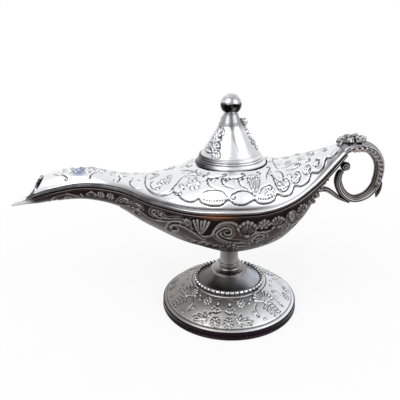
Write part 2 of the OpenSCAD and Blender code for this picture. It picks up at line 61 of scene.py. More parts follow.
MOUTH_SETBACK = 10.5
MOUTH_LEAN = 12.3
MOUTH_LIP = 0.5
MOUTH_LIP_LENGTH = 0.9
MOUTH_BLEND = 36.0
SEAM_GAP = 0.1
END_WALL = 2.0
THIN_EDGE = 0.12
ARC_STEPS = 7

# Rows of the hull's lines: place along it, lift of the rim, shares of half width,
# keel depth and crown rise
HULL_LINES = np.array([
    [-1.000, -10.7, 0.033, 0.032, 0.030],
    [-0.940,  -7.1, 0.117, 0.093, 0.190],
    [-0.880,  -3.7, 0.190, 0.166, 0.344],
    [-0.785,   0.6, 0.233, 0.227, 0.430],
    [-0.630,   4.6, 0.267, 0.315, 0.364],
    [-0.470,   3.7, 0.358, 0.414, 0.226],
    [-0.315,   0.5, 0.655, 0.609, 0.374],
    [-0.155,  -0.6, 0.917, 0.845, 0.805],
    [ 0.000,   0.0, 1.000, 1.000, 1.000],
    [ 0.300,   0.2, 0.911, 0.872, 0.846],
    [ 0.530,   3.4, 0.742, 0.551, 0.703],
    [ 0.730,   9.4, 0.500, 0.213, 0.600],
    [ 0.880,  16.2, 0.306, 0.117, 0.420],
    [ 1.000,  23.5, 0.222, 0.067, 0.180],
])
LINE_PLACES = HULL_LINES[:, 0] * np.where(HULL_LINES[:, 0] < 0, SPOUT_REACH, TAIL_REACH)

# Neck and seat of the lid, and the boss, pad and hole of the tie bolt
SEAT_HEIGHT = RIM_HEIGHT + 16.5
NECK_RADIUS = 17.05
LAND_RADIUS = 20.2
LAND_DROP = 0.3
KEEL_HEIGHT = RIM_HEIGHT - KEEL_DEPTH
BOSS_RADIUS = 7.2
BOSS_DROP = 0.6
PAD_RADIUS = 6.2
PAD_HEIGHT = 1.0
BOLT_HOLE = 2.15
# Top of the tools that cut the neck and its land out of the upper shell
CUT_TOP = SEAT_HEIGHT + 9


def smooth(places, values, s):
    """Smooth curve through values at places, with each slope from the two neighbours."""
    places, values, s = np.asarray(places), np.asarray(values), np.asarray(s, float)
    i = np.clip(np.searchsorted(places, s) - 1, 0, len(places) - 2)
    before = np.maximum(np.arange(len(places)) - 1, 0)
    after = np.minimum(np.arange(len(places)) + 1, len(places) - 1)
    slopes = (values[after] - values[before]) / (places[after] - places[before])
    step = places[i + 1] - places[i]
    t = (s - places[i]) / step
    return (
        (2 * t**3 - 3 * t**2 + 1) * values[i]
        + (t**3 - 2 * t**2 + t) * slopes[i] * step
        + (3 * t**2 - 2 * t**3) * values[i + 1]
        + (t**3 - t**2) * slopes[i + 1] * step
    )


def ease(t):
    """A soft step from 0 to 1 while t goes from 0 to 1."""
    c = np.clip(t, 0, 1)
    return c * c * (3 - 2 * c)


def hump(t):
    """A soft hump, 1 high at t = 0 and nearly nothing from t = 2."""
    return np.exp(-t**2)


def pair(a, b):
    """Points from their two coordinates."""
    return np.stack([a, b], -1)


def triple(x, y, z):
    """Points from their three coordinates."""
    return np.stack([x, y, z], -1)


def unit(vectors):
    return vectors / np.maximum(np.linalg.norm(vectors, axis=-1, keepdims=True), 1e-9)


def running(steps):
    """Lengths along a line from those of its steps."""
    return np.concatenate([[0], np.cumsum(steps)])


def circle(count):
    """Turns of points evenly spaced round a circle."""
    return np.linspace(0, FULL_TURN, count, endpoint=False)


def end_fade(count, reach):
    """Rises softly from 0 at both ends of a row of points."""
    places = np.arange(count)
    return ease(np.minimum(places, places[::-1]) / reach)


def rim_z(x):
    return RIM_HEIGHT + smooth(LINE_PLACES, HULL_LINES[:, 1], x)


def half_width(x):
    return smooth(LINE_PLACES, HULL_LINES[:, 2] * HULL_WIDTH / 2, x)


def keel(x):
    return smooth(LINE_PLACES, HULL_LINES[:, 3] * KEEL_DEPTH, x)


def crown(x):
    return smooth(LINE_PLACES, HULL_LINES[:, 4] * CROWN_RISE, x)


def rim_scale(x):
    return 0.25 + 0.75 * ease((x + SPOUT_REACH) / 28)


def hollow(x):
    return ease((TAIL_REACH - END_WALL - x) / 6)


def lean(x):
    return MOUTH_LEAN * np.maximum(0, 1 - (x - (MOUTH_SETBACK - SPOUT_REACH)) / MOUTH_BLEND) ** 2


def hull_point(x, across, up):
    """A point of the section square to the rim at x."""
    a = np.maximum(x - 0.5, -SPOUT_REACH)
    b = np.minimum(x + 0.5, TAIL_REACH)
    rise, run = rim_z(b) - rim_z(a), b - a
    size = np.hypot(run, rise)
    return triple(x - up * rise / size, across, rim_z(x) + up * run / size)


def rim_blend(lines, corner):
    """A line through the corners of a rim moulding, at fractional corner numbers."""
    stack = np.stack(lines)
    i = np.minimum(corner.astype(int), len(lines) - 2)
    t = corner - i
    columns = np.arange(len(corner))
    return stack[i, :, columns].T * (1 - t) + stack[i + 1, :, columns].T * t


# Raised ornament
SPIRAL_STEPS = 24


def towards(turn):
    return np.array([math.cos(turn), math.sin(turn)])


# Closed circles of radius 1, for outlines
CIRCLE = np.array([towards(a) for a in np.linspace(0, FULL_TURN, 25)])
FINE_CIRCLE = np.array([towards(a) for a in np.linspace(0, FULL_TURN, 121)])


def curve(points, fine=6):
    """A smooth line through a few points."""
    points = np.asarray(points, float)
    s = np.linspace(0, len(points) - 1, fine * (len(points) - 1) + 1)
    places = np.arange(len(points))
    return pair(*(smooth(places, column, s) for column in points.T))


def spiral(line, radius, hand, turns, shrink=0.75):
    """The line carried on into a spiral to the left (hand 1) or right (hand -1)."""
    line = list(line)
    heading = math.atan2(*(line[-1] - line[-2])[::-1])
    steps = int(SPIRAL_STEPS * turns)
    for k in range(steps):
        bend = FULL_TURN * turns / steps
        heading += hand * bend
        line.append(line[-1] + radius * (1 - shrink * k / steps) * bend * towards(heading))
    return np.array(line)


class Relief:
    """Heights over a surface, drawn in flat coordinates u and v in millimetres.

    Plates are low flat areas, lines and leaves stand on them, and cuts go into them.
    """

    def __init__(self, u, v):
        self.u = u
        self.v = v
        self.plates = np.zeros_like(u)
        self.lines = np.zeros_like(u)
        self.cuts = np.zeros_like(u)

    def heights(self):
        return self.plates + self.lines - self.cuts

    def near(self, line, reach):
        low, high = line.min(0) - reach, line.max(0) + reach
        return (self.u > low[0]) & (self.u < high[0]) & (self.v > low[1]) & (self.v < high[1])

    def distance(self, line, mask, widths):
        """Distance to the line, as a share of its half width there."""
        p = pair(self.u[mask], self.v[mask])
        best = np.full(len(p), 9.0)
        for k in range(len(line) - 1):
            step = line[k + 1] - line[k]
            t = np.clip((p - line[k]) @ step / max(step @ step, 1e-9), 0, 1)
            away = np.linalg.norm(p - line[k] - t[:, None] * step, axis=1)
            best = np.minimum(best, away / (widths[k] + (widths[k + 1] - widths[k]) * t))
        return best

    def stroke(self, layer, line, width, height, flat):
        line = np.asarray(line, float)
        widths = np.broadcast_to(np.asarray(width, float), (len(line),))
        mask = self.near(line, widths.max())
        if not mask.any():
            return
        away = self.distance(line, mask, widths)
        round_top = np.sqrt(np.clip(1 - away**2, 0, 1))
        flat_top = ease((1 - away) / 0.35)
        shape = round_top * (1 - flat) + flat_top * flat
        layer[mask] = np.maximum(layer[mask], height * shape)

    def ridge(self, line, width, height=0.7, flat=0.0):
        self.stroke(self.lines, line, width, height, flat)

    def cut(self, line, width=0.5, depth=0.5):
        self.stroke(self.cuts, line, width, depth, 0.4)

    def plate(self, outline, height=0.5, edge=0.5):
        """A flat raised area inside a closed outline."""
        outline = np.asarray(outline, float)
        mask = self.near(outline, 0)
        if not mask.any():
            return
        u, v = self.u[mask], self.v[mask]
        inside = np.zeros(len(u), bool)
        for a, b in zip(outline, np.roll(outline, -1, 0)):
            spans = (a[1] > v) != (b[1] > v)
            rise = b[1] - a[1] if b[1] != a[1] else 1e-9
            inside ^= spans & (u < (b[0] - a[0]) * (v - a[1]) / rise + a[0])
        closed = np.concatenate([outline, outline[:1]])
        away = self.distance(closed, mask, np.full(len(closed), edge))
        shape = np.where(inside, ease(away), 0)
        self.plates[mask] = np.maximum(self.plates[mask], height * shape)

    def bead(self, u, v, radius=0.8, height=0.7):
        self.ridge([[u, v], [u + 0.01, v]], radius, height)

    def pit(self, u, v, radius=0.6, depth=0.5):
        self.cut([[u, v], [u + 0.01, v]], radius, depth)

    def scroll(self, points, radius, hand, turns=1.2, width=0.9, height=0.7, moat=0.0):
        """A raised tendril that swells from its tip and curls round a bead, in a moat of its own."""
        line = spiral(curve(points), radius, hand, turns)
        t = np.linspace(0, 1, len(line))
        widths = width * (0.35 + 0.65 * np.sin(math.pi * np.minimum(1, t * 1.1)))
        if moat:
            self.cut(line, widths + moat, height * 0.8)
        self.ridge(line, widths, height)
        self.bead(*line[-1], width * 0.9, height * 1.2)

    def outline(self, points, radius=0.0, hand=1, turns=0.8, width=0.55, depth=0.65):
        """An incised line that may end in a curl with a pit in its eye."""
        line = curve(points)
        if radius:
            line = spiral(line, radius, hand, turns)
            self.pit(*line[-1], width * 1.3, depth)
        t = np.linspace(0, 1, len(line))
        self.cut(line, width * (0.55 + 0.45 * np.sin(math.pi * t)), depth)

    def rosette(self, u, v, radius, petals=6, height=0.6, turn=0.3):
        """A flower of round petals with cuts between them and a bead in its middle."""
        middle = np.array([u, v])
        for k in range(petals):
            tip = radius * towards(turn + FULL_TURN * k / petals)
            gap = radius * towards(turn + FULL_TURN * (k + 0.5) / petals)
            self.ridge([middle + 0.35 * tip, middle + 0.72 * tip], [0.16 * radius, 0.3 * radius], height)
            self.cut([middle + 0.45 * gap, middle + 0.85 * gap], 0.34, 0.5)
        self.bead(u, v, 0.24 * radius, 1.3 * height)

    def fan(self, u, v, radius, turn, ribs=7, spread=2.2, height=0.7):
        """A palmette that opens from u, v towards the angle turn."""
        for k in range(ribs):
            share = k / (ribs - 1) - 0.5
            tip = towards(turn + spread * share)
            size = radius * (1 - 0.45 * abs(share))
            line = [np.array([u, v]) + size * q * tip for q in (0.2, 0.62, 0.9)]
            self.ridge(line, radius * np.array([0.04, 0.065, 0.09]), 0.65 * height)
            self.bead(*line[-1], radius * 0.105, 1.2 * height)
        self.bead(u, v, radius * 0.14, height)

    def leaf(self, u, v, length, width, turn, height=0.6):
        """A pointed leaf with a vein, from u, v towards the angle turn."""
        line = [np.array([u, v]) + length * q * towards(turn) for q in (0.0, 0.3, 0.55, 0.8, 1.0)]
        self.ridge(line, width * np.array([0.4, 0.9, 1.0, 0.65, 0.15]), height)
        self.cut(line[1:4], 0.3, height * 0.6)

    def drop(self, u, v, length, turn, height=0.6):
        """A drop that narrows towards the angle turn."""
        line = [np.array([u, v]) + length * q * towards(turn) for q in (0.0, 0.5, 1.0)]
        self.ridge(line, length * np.array([0.34, 0.24, 0.06]), height)


def blurred(heights, rounds):
    for _ in range(rounds):
        for axis in (0, 1):
            wide = np.pad(heights, [(1, 1) if axis == k else (0, 0) for k in (0, 1)], "edge")
            before, after = (wide[:-2], wide[2:]) if axis == 0 else (wide[:, :-2], wide[:, 2:])
            heights = (before + heights + after) / 3
    return heights


def grid_normals(points, sign=1):
    return sign * unit(np.cross(np.gradient(points, axis=0), np.gradient(points, axis=1)))


def ring_steps(points, axis):
    """Steps from the point before to the point after, along an axis that closes on itself."""
    return np.roll(points, -1, axis) - np.roll(points, 1, axis)


# Meshes
def make_object(name, points, faces, marks=None):
    """points in millimetres; marks are named values for each point, which materials read."""
    mesh = bpy.data.meshes.new(name)
    mesh.from_pydata((np.asarray(points) * MM).tolist(), [], faces)
    for mark, values in (marks or {}).items():
        mesh.attributes.new(mark, "FLOAT", "POINT").data.foreach_set("value", values.astype(np.float32))
    mesh.shade_smooth()
    obj = bpy.data.objects.new(name, mesh)
    bpy.context.scene.collection.objects.link(obj)
    return obj


def grid_faces(rows, cols, first=0, flip=False, loop=False):
    i = np.arange(rows - 1)[:, None] * cols
    j = np.arange(cols if loop else cols - 1)[None, :]
    k = (j + 1) % cols
    quads = np.stack([first + i + j, first + i + k, first + i + cols + k, first + i + cols + j], -1)
    quads = quads.reshape(-1, 4)
    return (quads[:, ::-1] if flip else quads).tolist()


def zipper(a, b, flip=False):
    """Triangles between two open lines of points that run the same way."""
    faces = []
    i = j = 0
    while i < len(a) - 1 or j < len(b) - 1:
        if j == len(b) - 1 or (i < len(a) - 1 and (i + 1) / (len(a) - 1) <= (j + 1) / (len(b) - 1)):
            faces.append((a[i], a[i + 1], b[j]))
            i += 1
        else:
            faces.append((a[i], b[j + 1], b[j]))
            j += 1
    return [f[::-1] for f in faces] if flip else faces


def cap(first, count, flip=False):
    """One face over a ring of points."""
    ring = list(range(first, first + count))
    return ring[::-1] if flip else ring


def cylinder(radius, low, high, sides=96):
    turn = circle(sides)
    points = [(radius * math.cos(a), radius * math.sin(a), z) for z in (low, high) for a in turn]
    faces = grid_faces(2, sides, loop=True) + [cap(0, sides, True), cap(sides, sides)]
    return make_object("tool", points, faces)


def cut(obj, tool, operation):
    """Joins or cuts obj with a tool body, which is then removed."""
    modifier = obj.modifiers.new("cut", "BOOLEAN")
    modifier.object = tool
    modifier.operation = operation
    modifier.solver = "EXACT"
    graph = bpy.context.evaluated_depsgraph_get()
    mesh = bpy.data.meshes.new_from_object(obj.evaluated_get(graph))
    obj.modifiers.clear()
    obj.data = mesh
    bpy.data.objects.remove(tool)


def relief_marks(heights, extra=0, shade=0.0, polish_and_highlight=0.0, inside=None):
    """Values for the materials: recesses, dark with patina and painted shade, edges, rubbed bright
    and painted as highlights, raised fields, broad painted shade, polish with painted highlights
    and painted shade on insides. The extra points come after those of the relief."""
    near = blurred(heights, 3)
    wide = blurred(heights, 10)
    blank = np.zeros_like(heights)
    shaded_inside, unshaded_inside = (0.0, 0.0) if inside is None else (inside.ravel(), 1 - inside.ravel())

    def whole(values, rest=0.0):
        return np.concatenate([np.clip(values, 0, 1).ravel(), np.broadcast_to(rest, extra)])

    return {
        # cavity: patina in narrow recesses, and painted shade spread wide below raised edges
        "cavity": whole(np.maximum((near - heights) / 0.12, (wide - heights) / 0.34)),
        "edge": whole((heights - near - 0.02) / 0.15),
        "raised": whole(heights / 0.5),
        "shade": whole(blank + shade),
        "polish_and_highlight": whole(blank + polish_and_highlight, unshaded_inside),
        "inside": whole(blank, shaded_inside),
    }


# Both shells. Their sections are drawn from the rim to the middle and then mirrored.
def both_sides(half):
    """Values of a near half with their mirror image after them."""
    return np.concatenate([half, half[:, -2::-1]], 1)


def both_halves(half):
    """Points of a near half with their mirror image on the far side after them."""
    return np.concatenate([half, half[:, -2::-1] * np.array([1, -1, 1])], 1)


def corner_numbers(corners, over_rim, over_arc):
    """Fractional corner numbers: over the rim's moulding, then round the arc."""
    rim = np.linspace(0, corners, over_rim)[:-1]
    return np.concatenate([rim, corners + ARC_STEPS * np.linspace(0, 1, over_arc)])


def outer_half(x, index, start, wide, tall, outs, ups, lift=0.0):
    """The outside: through the corners of its moulding, then round an arc from the angle start."""
    corners = len(outs) - 1
    corner = np.minimum(index, corners)
    angle = start + (QUARTER_TURN - start) * np.clip((index - corners) / ARC_STEPS, 0, 1)
    on_arc = index >= corners
    across = np.where(on_arc, wide * np.cos(angle), rim_blend(outs, corner))
    up = np.where(on_arc, tall * np.sin(angle), rim_blend(ups, corner))
    return hull_point(x, -across, up + lift)


def inner_half(x, turn, wide, tall, lift=0.0):
    """The plain inside, at the angles turn."""
    return hull_point(x + 0 * turn, -wide * np.cos(turn), tall * np.sin(turn) + lift)


def ornament_heights(half, skip, draw):
    """Heights of the ornament over the outside, faded in from the rim's moulding, which takes
    up the first columns, and how far each point is from that moulding."""
    rim = half[:, 0]
    along = running(np.linalg.norm(np.diff(rim, axis=0), axis=1))
    along -= np.interp(0, rim[:, 0], along)
    area = half[:, skip - 1:]
    steps = np.linalg.norm(np.diff(area, axis=1), axis=2)
    up = np.concatenate([np.zeros((len(half), 1)), np.cumsum(steps, 1)], 1)
    side = Relief(np.broadcast_to(along[:, None], up.shape), up)
    top = Relief(area[..., 0], area[..., 1])
    draw(side, top)
    fade = ease(up / 0.8)
    fade[-1] = 0
    heights, from_rim = np.zeros((2, *half.shape[:2]))
    heights[:, skip - 1:] = (side.heights() + top.lines - top.cuts) * fade
    from_rim[:, skip - 1:] = up
    return heights, from_rim


def cast_shell(name, upper, half, inner, heights, shade, polish_and_highlight, inside):
    """A thin body between the outer and inner grids, closed along the rim and at the ends.
    Heights, painted shade and polish with painted highlights go with the outer points, and the
    painted shade of the inside with the inner ones."""
    heights, shade, polish_and_highlight, inside = (both_sides(values) for values in (heights, shade, polish_and_highlight, inside))
    outer, inner = both_halves(half), both_halves(inner)
    outer = outer + grid_normals(outer, 1 if upper else -1) * heights[..., None]
    rows, cols = outer.shape[:2]
    narrow = inner.shape[1]
    first = rows * cols
    faces = grid_faces(rows, cols, 0, not upper) + grid_faces(rows, narrow, first, upper)
    for side, wall_side in ((0, 0), (cols - 1, narrow - 1)):
        edge = [(i * cols + side, first + i * narrow + wall_side) for i in range(rows)]
        strip = [(edge[i][0], edge[i + 1][0], edge[i + 1][1], edge[i][1]) for i in range(rows - 1)]
        turn = (side == 0) != upper
        faces += [f if turn else f[::-1] for f in strip]
    for row, turn in ((0, upper), (rows - 1, not upper)):
        faces += zipper(cap(row * cols, cols), cap(first + row * narrow, narrow), not turn)
    points = np.concatenate([outer.reshape(-1, 3), inner.reshape(-1, 3)])
    return make_object(name, points, faces, relief_marks(heights, rows * narrow, shade, polish_and_highlight, inside))


# Upper shell
# Lower edge of the raised field on the shoulders, along and up from the rim
SHOULDER_EDGE = [
    (-51.5, 16), (-50.5, 10), (-48, 6), (-43.5, 3.6), (-38.5, 3.3), (-34, 5.2), (-31, 7.6),
    (-27.5, 7.2), (-26, 5.2), (-22.5, 3.6), (-18.5, 3.8), (-15.3, 5.6), (-14, 3.8), (-9.5, 2.4),
    (-4, 2.6), (-0.5, 5.4), (2.5, 3.2), (7, 2.8), (12, 5), (14.5, 3.2), (19, 2.3), (23.5, 3),
    (26, 5.4), (29.5, 3), (34, 2.4), (38, 5), (41.5, 2.8), (47, 2.2), (51.5, 4.6),
    (55, 2.2), (60, 2), (64, 4.2), (67, 2.4), (71, 2.4),
]
# Scrolls incised on the shoulders: their points, then radius, hand and turns of the curl
SHOULDER_SCROLLS = [
    ([(-47, 5.4), (-42, 3.6), (-36.5, 4.2), (-32, 8), (-29, 13), (-26, 19), (-21.5, 23.5)],
     3.4, -1, 0.55),
    ([(-45.5, 13.5), (-46.5, 9.5), (-44.5, 6.6), (-41, 6.4)], 1.7, 1, 0.9),
    ([(-30.5, 9), (-29.5, 6.2), (-26.5, 5.8)], 1.3, 1, 0.8),
    ([(-6.5, 11), (-10, 13), (-11, 16.5)], 1.8, -1, 0.8),
    ([(1.5, 11), (-2.5, 13), (-3.8, 16)], 1.6, -1, 0.8),
    ([(8.5, 10.5), (5, 13), (3.8, 16.5)], 1.6, -1, 0.8),
    ([(-13.5, 8.6), (-9, 10.2), (-3.5, 9.6), (-0.8, 6.4)], 0, 1, 0),
    ([(12.5, 6.4), (9, 9), (4.5, 9.4), (1.2, 7.6)], 1.6, 1, 0.7),
    ([(15, 7.4), (17.5, 10.8), (21.5, 11.6)], 2, -1, 0.8),
    ([(24.5, 22), (25.5, 15), (26.5, 9), (29.5, 5.4)], 0, 1, 0),
    ([(27.5, 20), (31, 18.5), (32.5, 14.5), (31, 10)], 2.4, -1, 0.8),
    ([(36, 17), (38.5, 15.5), (42, 13.8), (46, 13)], 1.6, 1, 0.8),
    ([(47.5, 12.6), (50.5, 12.2), (54, 10.6)], 1.2, 1, 0.8),
    ([(33, 21), (37, 19.5), (41, 19), (45, 17.5)], 1.5, -1, 0.8),
    ([(50, 15.8), (54, 13.8), (58, 12.8)], 1.4, 1, 0.8),
    ([(60, 13), (63, 11), (66.5, 10.2)], 1.2, -1, 0.8),
    ([(-52, 3), (-56, 1.8), (-59.5, 3.4), (-60, 7), (-57, 9.6)], 0, 1, 0),
    ([(-73, 8.8), (-69.5, 9.2), (-66.6, 7.2), (-66.8, 3.6)], 1.9, -1, 0.7),
    ([(-82.5, 1.8), (-82, 5.4), (-79, 8.6), (-75, 9.2)], 0, 1, 0),
    ([(-94, 9.6), (-91, 7), (-87.5, 7.6)], 1.4, 1, 0.7),
    ([(-108, 8.8), (-103.5, 7.2), (-98.5, 6), (-95.5, 3.8)], 1.2, -1, 0.7),
]
SHOULDER_ROSETTES = [
    (-84, 8.8, 2.5), (-37, 15, 3.2), (-18.5, 13.5, 3.6), (21.5, 7.2, 2.6), (39.5, 22.5, 2.2),
    (48.5, 18, 1.8), (57, 15.8, 1.6),
]
# Lobes with a flower in them towards the tail: place along and up, and size
SHOULDER_LOBES = [(30.8, 8.4, 4.4), (40.6, 8.2, 3.8), (49.4, 7.6, 3.2), (57.4, 6.4, 2.5)]
# A lobe's outline from its flower, in sizes of the lobe
LOBE_EDGE = np.array([(-1, 0.2), (-0.7, -0.6), (0.2, -0.8), (1, -0.2), (0.9, 0.5)])
SHOULDER_DROPS = [
    (-22.5, 19.5), (-14, 20.5), (-34.5, 20), (-40, 11), (-25, 11), (29, 12.5), (37, 11),
]
SHOULDER_TOP = 45
NECK_CURLS = 15
NECK_PITS_RADIUS = 24.2


def upper_shell_ornament(side, top):
    """Lobed field, scrolls and rosettes of the shoulders, and a ring of curls round the neck."""
    border = curve(SHOULDER_EDGE, 4)
    corners = [(80, 2.4), (80, SHOULDER_TOP), (-51.5, SHOULDER_TOP)]
    side.plate(np.concatenate([border, corners]), 0.6, 0.45)
    side.cut(border - np.array([0, 0.5]), 0.5, 0.5)
    for points, radius, hand, turns in SHOULDER_SCROLLS:
        side.outline(points, radius, hand, turns)
    for u, v, radius in SHOULDER_ROSETTES:
        side.rosette(u, v, radius)
    for k in range(5):
        side.ridge([(13.6 - 0.44 * k, 7.5), (15.0 - 1.5 * k, 20.0 - 0.5 * k)], [0.25, 0.75], 0.6)
        side.cut([(13.2 - 0.45 * k, 8.0), (14.2 - 1.5 * k, 19.6 - 0.5 * k)], 0.3, 0.5)
    for k in range(9):
        dip = (k - 4) ** 2
        side.pit(14.5 + 1.35 * k, 4.2 + 0.055 * dip, 0.6, 0.7)
        side.pit(-12.4 + 1.3 * k, 4.2 + 0.04 * dip, 0.5, 0.6)
        side.pit(22.0 + 1.1 * k, 21.0 - 1.5 * k, 0.75, 0.8)
        side.pit(-8.5 + 2.9 * k, 17.4 + 0.03 * dip, 0.8, 0.8)
    for u, v, size in SHOULDER_LOBES:
        side.outline([u, v] + size * LOBE_EDGE, 0.4 * size, 1, 0.7)
        for k in range(4):
            side.pit(u + (0.35 * k - 0.5) * size, v - 0.45 * size + 0.03 * k * size, 0.6, 0.7)
        side.rosette(u, v + 0.15 * size, 0.42 * size, 6, 0.5)
    for u, v in SHOULDER_DROPS:
        side.drop(u, v, 2.4, 2.2, 0.5)
        side.pit(u + 0.9, v - 0.9, 0.75, 0.7)
    for k in range(6):
        side.bead(-48.5 + 0.9 * k, 15.5 + 1.5 * k, 0.5, 0.6)
        side.pit(-47.6 + 0.9 * k, 15.2 + 1.5 * k, 0.55, 0.6)
    for k in range(7):
        side.pit(-64.0 + 4.4 * k, 10.2 + 0.09 * k * k, 0.75, 0.7)
        side.leaf(-101.0 + 5.6 * k, 8.8, 2.6, 0.7, 0.35, 0.55)
        side.pit(-99.6 + 5.6 * k, 7.4, 0.7, 0.7)
    for k in range(NECK_CURLS):
        turn = FULL_TURN * k / NECK_CURLS
        line = [(27.5 - 2.2 * q) * towards(turn + 0.10 * q * q) for q in (0, 1, 2)]
        top.outline(line, 1.2, 1, 0.8, 0.42, 0.5)
        out = towards(turn + math.pi / NECK_CURLS)
        top.pit(*(NECK_PITS_RADIUS * out), 0.5, 0.5)
        top.bead(*((NECK_PITS_RADIUS + 1.9) * out), 0.6, 0.5)


# Shaded recess behind the lip of the mouth: heights up from the rim and half widths there,
# distance from the lip and depth
MOUTH_LENS = ((1.6, 3.6, 7.0, 10.0, 12.5), (0.0, 2.6, 3.9, 2.9, 0.0))
MOUTH_LENS_PLACE = 2.3
MOUTH_LENS_DEPTH = 0.9


# Points round the near half of the sections: over the rim's moulding, over the arc and inside
UPPER_RIM, UPPER_ARC, UPPER_INSIDE = 9, 92, 13
UPPER_ROWS = 385


def mouth_lens(behind, from_rim):
    """Depth of the recess behind the mouth's lip, from 0 to 1."""
    off = np.abs(behind - MOUTH_LENS_PLACE)
    return ease(2.5 * (1 - off / np.maximum(np.interp(from_rim, *MOUTH_LENS), 0.01)))


def upper_painted_shade(x, from_rim):
    """Broad painted shade and painted dark reflection: above the rim, on the rim's side and
    under side, and round the mouth's lip.
    """
    painted_shade = 0.6 * ease((1.6 - from_rim) / 1.5) + 0.36 * ease((4.6 - from_rim) / 4.0)
    painted_shade *= (0.2 + 0.8 * ease((x + 80) / 50)) * (1 - 0.55 * ease((x - 5) / 35))
    painted_shade += 0.42 * ease((x - 36) / 12) * ease((4.2 - from_rim) / 1.5)
    side = x[:, 3:UPPER_RIM - 2]
    back = ease((side + 45) / 45)
    painted_shade[:, 3:UPPER_RIM - 2] = 0.05 + 0.93 * (1 - back) + 0.32 * back * ease((40 - side) / 30)
    painted_shade[:, :3] = 0.95
    painted_shade[:4] = np.maximum(painted_shade[:4], 0.85)
    return painted_shade


def make_upper_shell():
    mouth = MOUTH_SETBACK - SPOUT_REACH
    lip_end = mouth + MOUTH_LIP_LENGTH
    at_lip = [mouth, mouth + 0.2, lip_end - 0.3, lip_end, lip_end + 0.4]
    s = np.concatenate([at_lip, np.linspace(lip_end + 0.9, TAIL_REACH, UPPER_ROWS)])[:, None]
    proud = np.where(s < lip_end - 0.2, MOUTH_LIP, 0)
    proud[0] = MOUTH_LIP * 0.6
    index = corner_numbers(4, UPPER_RIM, UPPER_ARC)
    x = np.minimum(s + lean(s) * np.sin(QUARTER_TURN * index / index[-1]), TAIL_REACH)
    k, w, h = rim_scale(x), half_width(x) + proud, crown(x) + proud
    lip = np.minimum(RIM_LIP_HEIGHT * k, h * 0.3)
    start = np.arcsin(np.minimum(0.8, lip * 1.7 / h))
    outs = [w + RIM_LIP * k * q for q in (0.85, 1.0, 0.8, 0.2)] + [w * np.cos(start)]
    ups = [lip * q for q in (0.0, 0.5, 1.0, 1.25)] + [h * np.sin(start)]
    half = outer_half(x, index, start, w, h, outs, ups, SEAM_GAP)
    heights, from_rim = ornament_heights(half, UPPER_RIM, upper_shell_ornament)
    lens = mouth_lens(s - lip_end, from_rim)
    heights = heights - MOUTH_LENS_DEPTH * lens
    # the recess behind the mouth's lip is also painted dark as shade
    shade = np.maximum(upper_painted_shade(half[..., 0], from_rim), lens)
    turn = np.linspace(0, QUARTER_TURN, UPPER_INSIDE)
    x = np.minimum(s + lean(s) * np.sin(turn), TAIL_REACH)
    h = np.maximum(THIN_EDGE, (crown(x) - SHELL_WALL) * hollow(x))
    inner = inner_half(x, turn, half_width(x) - SHELL_WALL, h, SEAM_GAP)
    # the whole inside is painted dark as shade
    inside = np.ones(x.shape)
    shell = cast_shell("upper_shell_cast", True, half, inner, heights, shade, 0 * heights, inside)
    cut(shell, cylinder(NECK_RADIUS, RIM_HEIGHT + 1, CUT_TOP), "DIFFERENCE")
    cut(shell, cylinder(LAND_RADIUS, SEAT_HEIGHT - LAND_DROP, CUT_TOP), "DIFFERENCE")
    return shell


# Lower shell
# Upper edge of the raised field on the hull, along and down from the rim
HULL_EDGE = [
    (-66, 7.5), (-60, 5.4), (-54, 4.2), (-48, 5), (-43, 7), (-38, 6.4), (-32, 4.2),
    (-26.5, 3.2), (-24.6, 1.2), (-21.4, 0.9), (-19.4, 3), (-18.2, 7.4), (-14.6, 10.6), (-10.4, 10),
    (-8.4, 6), (-5.4, 2.2), (-0.4, 0.9), (3.8, 2.4), (5, 5.4), (6.8, 9), (11.2, 9.4), (13, 6.8),
    (14.4, 8.2), (19.6, 8.2), (20.8, 6.6), (26, 7), (28.4, 2), (32.6, 1.6), (34.4, 5.6),
    (40, 4.8), (46, 3.8), (52, 3), (58, 2.6),
]
# Raised tendrils of the hull: their points, then radius, hand and turns of the curl
HULL_SCROLLS = [
    ([(-23.5, 1.8), (-28, 2.6), (-33, 4.2), (-38, 5.4), (-41.6, 4.4)], 1.9, 1, 0.95),
    ([(-33.5, 3.6), (-35, 4.2), (-37, 3.4)], 1, 1, 0.9),
    ([(-56.5, 4.6), (-54, 1.9), (-50.5, 2)], 1.2, 1, 0.7),
    ([(-66, 5.6), (-63, 2.2), (-59.5, 2)], 1.3, 1, 0.7),
    ([(13, 15.4), (6, 16), (-1, 15.2), (-6, 12), (-6.6, 8.2), (-3.4, 5.4)], 3.2, 1, 1.2),
    ([(12.4, 18), (11.4, 14.6), (13, 11.6)], 2.4, 1, 0.9),
    ([(-20, 5.4), (-19.4, 2.8), (-21.8, 1.9)], 1.2, -1, 0.8),
    ([(21, 16.4), (25.5, 14.2), (28.5, 10.8)], 1.8, -1, 0.8),
    ([(33.5, 11), (37, 9.4), (40, 7.2)], 1.3, -1, 0.8),
]
# Dark eyes of the scrolls, and lumps under the tail: place along and down, and size
HULL_EYES = [(-1.6, 8.9, 3.1), (-28.6, 9.4, 1.8), (-40.4, 3.4, 1.5)]
TAIL_LUMPS = [(51, 5.4, 1.3), (47, 7.6, 1.5), (43.6, 9.6, 1.2)]
# Lines incised beside the tendrils: points, then radius, hand and turns of the curl
HULL_CUTS = [
    ([(-13.6, 13.6), (-16.5, 10.2), (-20.5, 6.9), (-25, 5.2), (-29.6, 5.8), (-32, 8.4)], 2.4, -1, 0.55),
    ([(7.4, 14.4), (1, 14.2), (-4.6, 11.8), (-6, 8.4), (-3, 5.6)], 0, 1, 0),
    ([(-38, 13), (-45, 10.8), (-52, 9.4)], 1.6, 1, 0.7),
    ([(-4, 18.6), (-12, 16.4), (-22, 15), (-32, 13.4)], 1.6, 1, 0.7),
    ([(16, 22), (23, 20), (30, 15)], 1.4, 1, 0.7),
]
HULL_BOTTOM = 24
